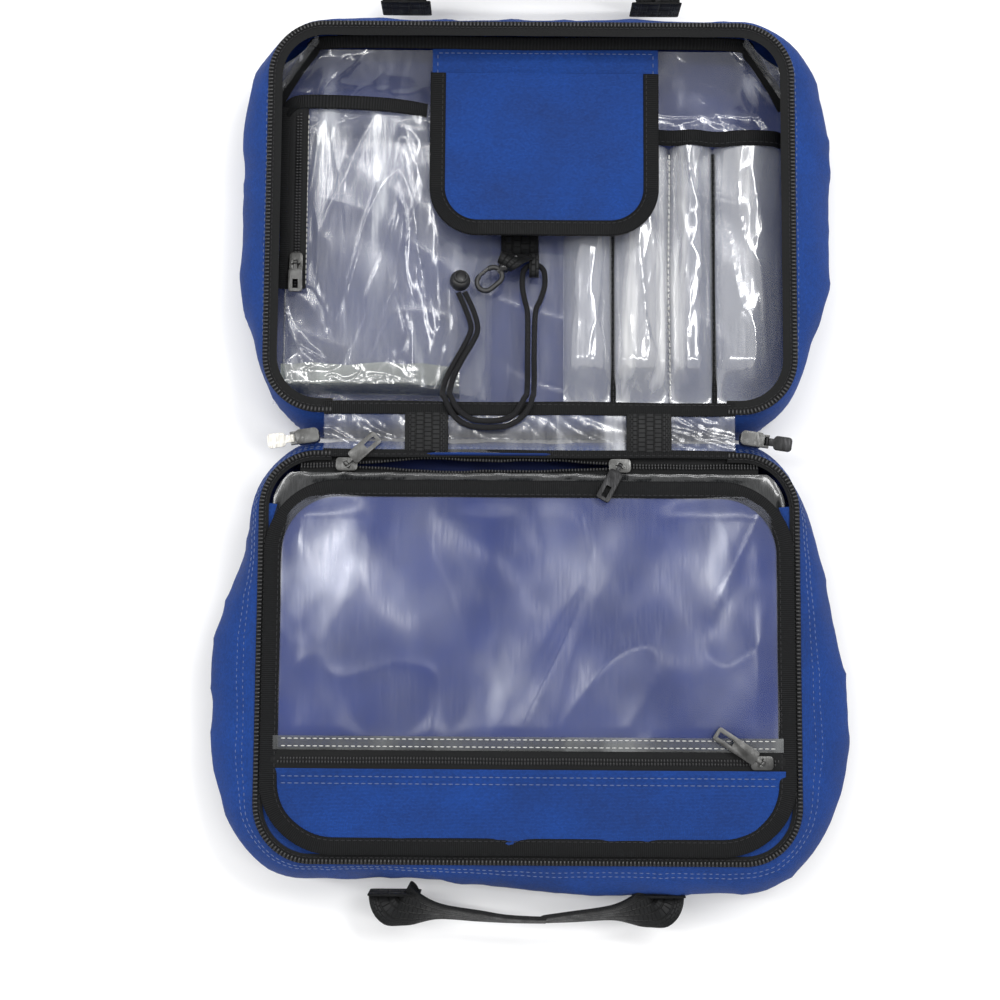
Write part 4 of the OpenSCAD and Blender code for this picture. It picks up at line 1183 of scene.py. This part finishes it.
# Web tab, snap hook and cord stop
hook = {"eye": Vector((-12, 103, 26)), "turn": 220, "start": 5, "end": 24, "wide": 13}
tabLine = smoothLine([(-5.5, 137, 15.9), (-5.5, 122, 16.0), (-5.5, 112, 16.6), (-5.5, 109.4, 19.5),
                      (-6.5, 108.2, 23.2), (-9, 106.6, 27.4), (-11, 104.6, 30.3),
                      (-13.6, 101.6, 30.0), (-14.2, 101.2, 25.5), (-12.0, 104.6, 22.0),
                      (-8.0, 107.6, 21.5)], 6)
count = len(tabLine)
tabSides = [Vector((1, 0, 0)).lerp(Vector((0.77, -0.64, 0)), smooth(i / count * 1.3 - 0.25))
            for i in range(count)]
tabWidths = [mix(22, 9, smooth(i / count * 1.9 - 0.55)) for i in range(count)]
tab = band("webTab", tabLine, tabSides, tabWidths, 1.3, around=16)
finishPiece(tab, "front_half", "web", "web_tab", look=carryWeb)
loopLine = [(2.7, 102.6 + 6.6 * math.copysign(abs(math.cos(a)) ** 0.6, math.cos(a)),
             23 + 3.1 * math.copysign(abs(math.sin(a)) ** 0.8, math.sin(a)))
            for a in np.linspace(0, 2 * math.pi, 40, endpoint=False)]
keeper = band("cordLoop", loopLine, [(1, 0, 0)] * 40, 5.6, 1.1, closed=True, around=12)
finishPiece(keeper, "front_half", "web", look=carryWeb)


def hookAt(x, y, z=0.0):
    c, s = math.cos(math.radians(hook["turn"])), math.sin(math.radians(hook["turn"]))
    return hook["eye"] + Vector((x * c - y * s, x * s + y * c, z))


def stadium(a, inset):
    r = hook["wide"] / 2 - inset
    x0, x1 = hook["start"] + hook["wide"] / 2, hook["end"] - hook["wide"] / 2
    way = Vector((math.cos(a), math.sin(a), 0))
    return Vector((x1 if way[0] > 0 else x0, 0, 0)) + way * r


angles = np.linspace(math.radians(-84), math.radians(266), 60)
bowLine = [stadium(a, 1.5) for a in angles]
bow = band("snapHook", [hookAt(p[0], p[1]) for p in bowLine],
           [hookAt(*(p + Vector((math.cos(a), math.sin(a), 0)))[:2]) - hookAt(p[0], p[1])
            for a, p in zip(angles, bowLine)], 2.9, 3.4, around=14, power=0.8)
finishPiece(bow, "snap_hook", "hardware", "snap_hook", look=mattBlack)


def lathe(name, profile, at, axis, around, material, body, slot, *nodes):
    axis = Vector(axis).normalized()
    one = axis.orthogonal().normalized()
    other = axis.cross(one)
    last = len(profile) - 1

    def place(u, v):
        reach, along = profile[int(v * last + 0.5)]
        angle = 2 * math.pi * u
        return Vector(at) + axis * along + (one * math.cos(angle) + other * math.sin(angle)) * reach

    obj = wrap(name, around, last, place, (2 * math.pi * max(p[0] for p in profile), last),
               closed=(True, False), shrink=True)
    paint(obj, material)
    return finishPiece(obj, body, slot, *nodes)


lathe("hookSwivel", [(0, -6.3), (2.0, -6.3), (2.6, -5.9), (2.6, -4.6), (1.7, -4.3), (1.7, 0.2),
                     (2.9, 0.5), (3.3, 1.0), (3.3, 4.4), (2.9, 5.2), (2.0, 6.8), (1.5, 8.2),
                     (0, 8.4)], hook["eye"], hookAt(1, 0) - hookAt(0, 0), 28, glossBlack,
      "snap_hook", "hardware")
gateLine = [hookAt(x, -5.2) for x in (11.2, 12.5, 14.5, 16.5, 17.8)]
gate = band("hookGate", gateLine, [hookAt(0, 1) - hookAt(0, 0)] * 5, 2.1, 2.6, around=12, power=0.7)
finishPiece(gate, "hook_gate", "hardware", "hook_gate", look=glossBlack)

stop = lathe("cordStop", [(0, -6.0), (2.6, -5.5), (4.6, -3.9), (5.8, -1.6), (6.0, 0.4), (5.6, 2.2),
                          (4.9, 3.4), (4.2, 3.7), (4.0, 4.4), (4.3, 4.9), (3.9, 5.4), (3.2, 5.5),
                          (2.9, 4.9), (2.6, 4.5), (1.6, 4.9), (0, 5.1)], (-40, 91, 32.2),
             (0.15, 0.35, 1), 36, stopRubber, "front_half", "cord_stop", "cord_stop")

# Carrying handles: web that twists between its two anchors
handle = {"x": 73, "thick": 2.6, "anchorY": 254.3, "anchorW": 29, "anchorThick": 1.2}


def handleRoute(half):
    rows = [(-73, 254.9, 25, (1, 0, 0), 28), (-73, 255.3, 30, (1, 0, 0), 28),
            (-72.6, 258.5, 33.2, (1, 0.05, 0), 28), (-69, 263.5, 33.5, (0.85, -0.45, 0.25), 26),
            (-60, 267.2, 32, (0.45, -0.5, 0.74), 22), (-44, 268.8, 30.5, (0.1, -0.4, 0.92), 18),
            (-22, 268.9, 30, (0, -0.32, 0.95), 16), (0, 268.7, 30, (0, -0.3, 0.95), 15)]
    if half == "back":
        rows = [(-73, 254.9, 25, (1, 0, 0), 28), (-73.5, 255.6, 30, (1, 0, 0), 28),
                (-71, 259.5, 32.6, (0.95, -0.2, 0.1), 28),
                 (-62, 262.5, 32.5, (0.75, -0.55, 0.4), 24),
                (-46, 264.5, 31.5, (0.25, -0.5, 0.85), 18), (-26, 266.8, 30.5, (0, -0.45, 0.9), 16),
                (-10, 268.4, 30, (0, -0.35, 0.95), 15), (6, 268.9, 30, (0, -0.3, 0.95), 15)]
    right = [(-x if k else 0, y, z, (-a, b, c), w) for k, (x, y, z, (a, b, c), w) in
             enumerate(reversed(rows))]
    rows = rows[:-1] + [(0 if half == "front" else 6, *right[0][1:])] + right[1:]
    if half == "back":
        rows = [(x + (4 if 8 > abs(x) else 0), y, z, s, w) for x, y, z, s, w in rows]
    points = smoothLine([r[:3] for r in rows], 8)
    sides = smoothLine([r[3] for r in rows], 8)
    widths = [p[0] for p in smoothLine([(r[4], 0, 0) for r in rows], 8)]
    return points, sides, widths


for half, body in (("front", "front_half"), ("back", "back_half")):
    points, sides, widths = handleRoute(half)
    web = band(half + "Handle", [side(half, p) for p in points],
               [Vector((s[0], -s[1], s[2])) if half == "back" else s for s in sides], widths,
               handle["thick"], around=20)
    finishPiece(web, half + "_handle", "web", half + "_handle", look=carryWeb)
    for k, x in enumerate((-handle["x"], handle["x"])):
        lineUp = [side(half, (x, handle["anchorY"] + 0.15 * math.sin(z), z))
                  for z in np.linspace(21, 39, 12)]
        patch = band(f"{half}HandleAnchor{k + 1}", lineUp, [(1, 0, 0)] * 12, handle["anchorW"],
                     handle["anchorThick"], around=18)
        paint(patch, carryWeb)
        nodes = [half + "_handle_anchors"] if k == 0 else []
        finishPiece(patch, body, "web", *nodes)
        corners = [(x - 11.5, 23), (x + 11.5, 23), (x + 11.5, 37), (x - 11.5, 37), (x - 11.5, 23),
                   (x + 11.5, 37)]
        seam = []
        for (a, b), (c, d) in zip(corners, corners[1:]):
            seam += [side(half, (mix(a, c, t), 255.0, mix(b, d, t))) for t in np.linspace(0, 1, 8)]
        row = stitchRow(f"{half}AnchorStitch{k + 1}", seam,
                        (0, 1 if half == "front" else -1, 0), 3.0,
                        blackThread, width=0.7)
        finishPiece(row, body, "web")
print("handles made")

# Back pad and shoulder straps, laid flat under the back half
def cushion(name, x0, x1, y0, y1, z0, z1, r, cap, voxel):
    deselect()
    bpy.ops.mesh.primitive_cube_add(size=1, location=((x0 + x1) / 2 * mm, -(y0 + y1) / 2 * mm,
                                                      (z0 + z1) / 2 * mm))
    obj = bpy.context.object
    obj.name = obj.data.name = name
    obj.scale = ((x1 - x0) * mm, (y1 - y0) * mm, (z1 - z0) * mm)
    settle(obj)
    mesh = bmesh.new()
    mesh.from_mesh(obj.data)
    upright = [e for e in mesh.edges if abs(e.verts[0].co.z - e.verts[1].co.z) > 1e-4]
    bmesh.ops.bevel(mesh, geom=upright, offset=r * mm, segments=8, affect="EDGES", profile=0.5)
    mesh.to_mesh(obj.data)
    mesh.free()
    applyModifier(obj, "REMESH", mode="VOXEL", voxel_size=voxel * mm)
    rest = np.zeros(len(obj.data.vertices) * 3)
    obj.data.vertices.foreach_get("co", rest)
    activate(obj)
    cloth = obj.modifiers.new("cloth", "CLOTH")
    cloth.settings.use_pressure = True
    cloth.settings.uniform_pressure_force = 4
    cloth.settings.quality = 4
    cloth.settings.effector_weights.gravity = 0
    cloth.point_cache.frame_start, cloth.point_cache.frame_end = 1, 20
    for step in range(1, 21):
        scene.frame_set(step)
    bpy.ops.object.modifier_apply(modifier="cloth")
    scene.frame_set(1)
    now = np.zeros(len(obj.data.vertices) * 3)
    obj.data.vertices.foreach_get("co", now)
    move = (now - rest).reshape(-1, 3)
    length = np.linalg.norm(move, axis=1, keepdims=True)
    move *= np.minimum(1.0, cap * mm / np.maximum(length, 1e-9))
    obj.data.vertices.foreach_set("co", (rest.reshape(-1, 3) + move).ravel())
    applyModifier(obj, "SUBSURF", levels=1)
    return obj


def pressSeams(obj, lines, depth, width, floorZ):
    for vertex in obj.data.vertices:
        x, y, z = vertex.co / mm
        near = min(lines(x, -y))
        push = depth * math.exp(-(near / width) ** 2)
        if z < floorZ:
            vertex.co.z += push * mm
    obj.data.update()
    activate(obj)
    bpy.ops.object.shade_smooth()


pad = cushion("backPad", -119, 119, 38, 224, 10.6, 14.2, 28, 1.6, 3.0)
pressSeams(pad, lambda x, y: [abs(y - k) for k in (75, 106, 137, 168, 199)]
           + [abs(abs(x) - 100)], 1.6, 2.2, 12.4)
finishPiece(pad, "back_half", "pad", "back_pad", look=padMesh)
rim = [rounded(i / 200, 121, 35, 226.5, 30) for i in range(200)]
edge = band("backPadBinding", [Vector((p[0], -p[1], 12.4)) for p, w in rim],
            [Vector((0, 0, 1))] * 200, 4.2, 2.4, closed=True, around=14)
finishPiece(edge, "back_half", "binding", look=bindingTape)

for name, way in (("left", -1), ("right", 1)):
    x = 64 * way
    strap = cushion(name + "ShoulderStrap", x - 26, x + 26, 81, 220, 1.6, 7.9, 20, 1.6, 3.0)
    pressSeams(strap, lambda a, y, x=x: [abs(a - x), abs(y - 110), abs(y - 150), abs(y - 190)],
               1.3, 1.8, 4.8)
    finishPiece(strap, "back_half", "pad", name + "_shoulder_strap", look=padMesh)
    rim = [rounded(i / 120, 28, 79, 222.5, 21) for i in range(120)]
    edge = band(name + "StrapBinding", [Vector((p[0] + x, -p[1], 4.75)) for p, w in rim],
                [Vector((0, 0, 1))] * 120, 6.5, 2.2, closed=True, around=14)
    finishPiece(edge, "back_half", "binding", look=bindingTape)
    line = smoothLine([(x, -20.5, 12.3), (x, -22, 8.9), (x, -34, 8.3), (x, -56, 8.5),
                       (x, -77, 8.6), (x, -88, 8.6)], 8)
    web = band(name + "StrapWeb", line, [(1, 0, 0)] * len(line), 25, 2.0, around=18)
    finishPiece(web, "back_half", "web", *(["strap_webs"] if way < 0 else []), look=carryWeb)
    line = [(x, -y, 12.4) for y in np.linspace(20.5, 33.5, 12)]
    patch = band(name + "StrapTab", line, [(1, 0, 0)] * 12, 34, 4.6, around=20)
    finishPiece(patch, "back_half", "web", *(["strap_tabs"] if way < 0 else []), look=cordura)
print("pad and straps made")

# Hard parts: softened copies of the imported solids
def soften(node, body, slot, material, width):
    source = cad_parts[node]
    mesh = source.data.copy()
    mesh.transform(source.matrix_world)
    obj = bpy.data.objects.new(node + "_cast", mesh)
    scene.collection.objects.link(obj)
    editAll(obj, (bpy.ops.mesh.remove_doubles, {"threshold": 1e-6}),
            (bpy.ops.mesh.dissolve_limited, {"angle_limit": math.radians(3)}))
    applyModifier(obj, "BEVEL", width=width * mm, segments=2, limit_method="ANGLE",
                  angle_limit=math.radians(40), harden_normals=False)
    bpy.ops.object.shade_smooth_by_angle(angle=math.radians(35))
    paint(obj, material)
    return finishPiece(obj, body, slot, node)


for node in ("left_compartment_slider", "right_compartment_slider", "window_slider",
             "pouch_slider", "left_compartment_pull", "window_pull", "pouch_pull"):
    soften(node, node, "zinc", zinc, 0.35)
soften("right_compartment_pull", "right_compartment_pull", "zinc", darkZinc, 0.35)
for name, finish in (("left", creamTab), ("right", darkZinc)):
    soften(name + "_main_slider", name + "_main_slider", "zinc", zinc, 0.8)
    soften(name + "_main_pull", name + "_main_pull", "zinc", finish, 0.35)
soften("ladder_locks", "back_half", "hardware", mattBlack, 0.5)
print("hardware made")

# Doubled elastic cord: out from the stop, round the loop and back beside itself
cord = {"thick": 3.2, "length": 0.4942, "points": [
    (-41, 84.4, 31), (-36.4, 74, 30), (-33.4, 64, 29.4), (-36.6, 55, 30.4), (-42.6, 43.6, 32.2),
    (-47, 34.4, 34.6), (-48.6, 27, 40.4), (-48.9, 22.6, 46.6), (-48.4, 20.9, 52.2),
    (-47.2, 18.9, 56.5), (-45.2, 14.4, 58.7), (-42.8, 10, 58.4), (-39, 6, 58), (-32, 3, 58),
    (-22, 2.4, 58), (-12, 3.5, 58), (-4.6, 8, 58.3), (0, 14.4, 58.7), (1.2, 18.9, 56.5),
    (1.8, 20.9, 52.2), (2.3, 22.6, 46.6), (2.6, 27, 40), (3, 35, 31.6), (3, 50, 25),
    (3.6, 74, 23), (6.4, 82, 23), (8.9, 90, 23), (9, 96.7, 23), (8.1, 100, 23), (5.8, 102.3, 23),
    (2.5, 103.2, 23), (-0.7, 102.3, 23), (-3, 100, 23), (-3.9, 96.7, 23), (-4, 90, 23),
    (-2.6, 82, 23), (-0.9, 74, 23), (-0.8, 50, 25), (-0.9, 35, 31.6), (-1.2, 27, 40),
    (-1.6, 22.6, 46.6), (-2.2, 20.9, 52.2), (-3.2, 18.9, 56.5), (-5.2, 14.6, 58.7),
    (-9, 9.4, 58.3), (-15, 6.8, 58), (-22, 6, 58), (-31, 6.6, 58), (-37, 9.8, 58.4),
    (-41.2, 14.2, 58.7), (-43.4, 18.9, 56.5), (-44.6, 20.9, 52.2), (-45, 22.6, 46.6),
    (-44.6, 27, 41), (-42.9, 34.8, 35.4), (-38.2, 45.2, 33.2), (-32.2, 56, 31.2),
    (-29.6, 64, 30), (-32.6, 75, 30), (-37.4, 84.8, 31)
]}
cordLine = smoothLine(cord["points"], 4)
sides = []
for i, p in enumerate(cordLine):
    along = (cordLine[min(i + 1, len(cordLine) - 1)] - cordLine[max(i - 1, 0)]).normalized()
    sides.append(along.cross(Vector((0.12, 0.1, 1))))
elastic = band("elasticCord", cordLine, sides, cord["thick"], cord["thick"], around=14, power=1.0)
finishPiece(elastic, "front_half", "cord", "elastic_cord", look=cordSheath)
print("cord made")


# Floor and light
deselect()
bpy.ops.mesh.primitive_plane_add(size=14, location=(0, 0, -0.0004))
floor = bpy.context.object
floor.name = "floor"
settle(floor)
floorPaint, floorTree, floorShader = newMaterial("paleFloor", (0.93, 0.93, 0.93), 0.9)
mottle = add(floorTree, "ShaderNodeTexNoise", Vector=coordinates(floorTree, 3, "Object"),
             Scale=1.0, Detail=4.0)
floorTree.links.new(ramp(floorTree, mottle.outputs["Fac"], [(0.3, 0.9), (0.7, 0.94)]),
                    floorShader.inputs["Base Color"])
paint(floor, floorPaint)

world = bpy.data.worlds.new("studio")
scene.world = world
world.use_nodes = True
world.node_tree.nodes["Background"].inputs["Color"].default_value = (1, 1, 1, 1)
world.node_tree.nodes["Background"].inputs["Strength"].default_value = 0.7


def softLight(name, place, aim, size, power):
    data = bpy.data.lights.new(name, "AREA")
    data.shape = "RECTANGLE"
    data.size, data.size_y = size
    data.energy = power
    lamp = bpy.data.objects.new(name, data)
    lamp.location = place
    lamp.rotation_euler = (Vector(aim) - Vector(place)).to_track_quat("-Z", "Y").to_euler()
    scene.collection.objects.link(lamp)


softLight("keyLight", (0.75, 0.55, 1.7), (0, 0, 0), (0.7, 0.35), 12)
softLight("leftStrip", (-0.75, 0.1, 1.5), (0, 0, 0), (0.14, 1.1), 7)
softLight("rightStrip", (0.42, -0.1, 1.8), (0, 0, 0), (0.1, 1.0), 5)
softLight("topStrip", (-0.1, 0.75, 1.6), (0, 0, 0), (1.2, 0.16), 5)
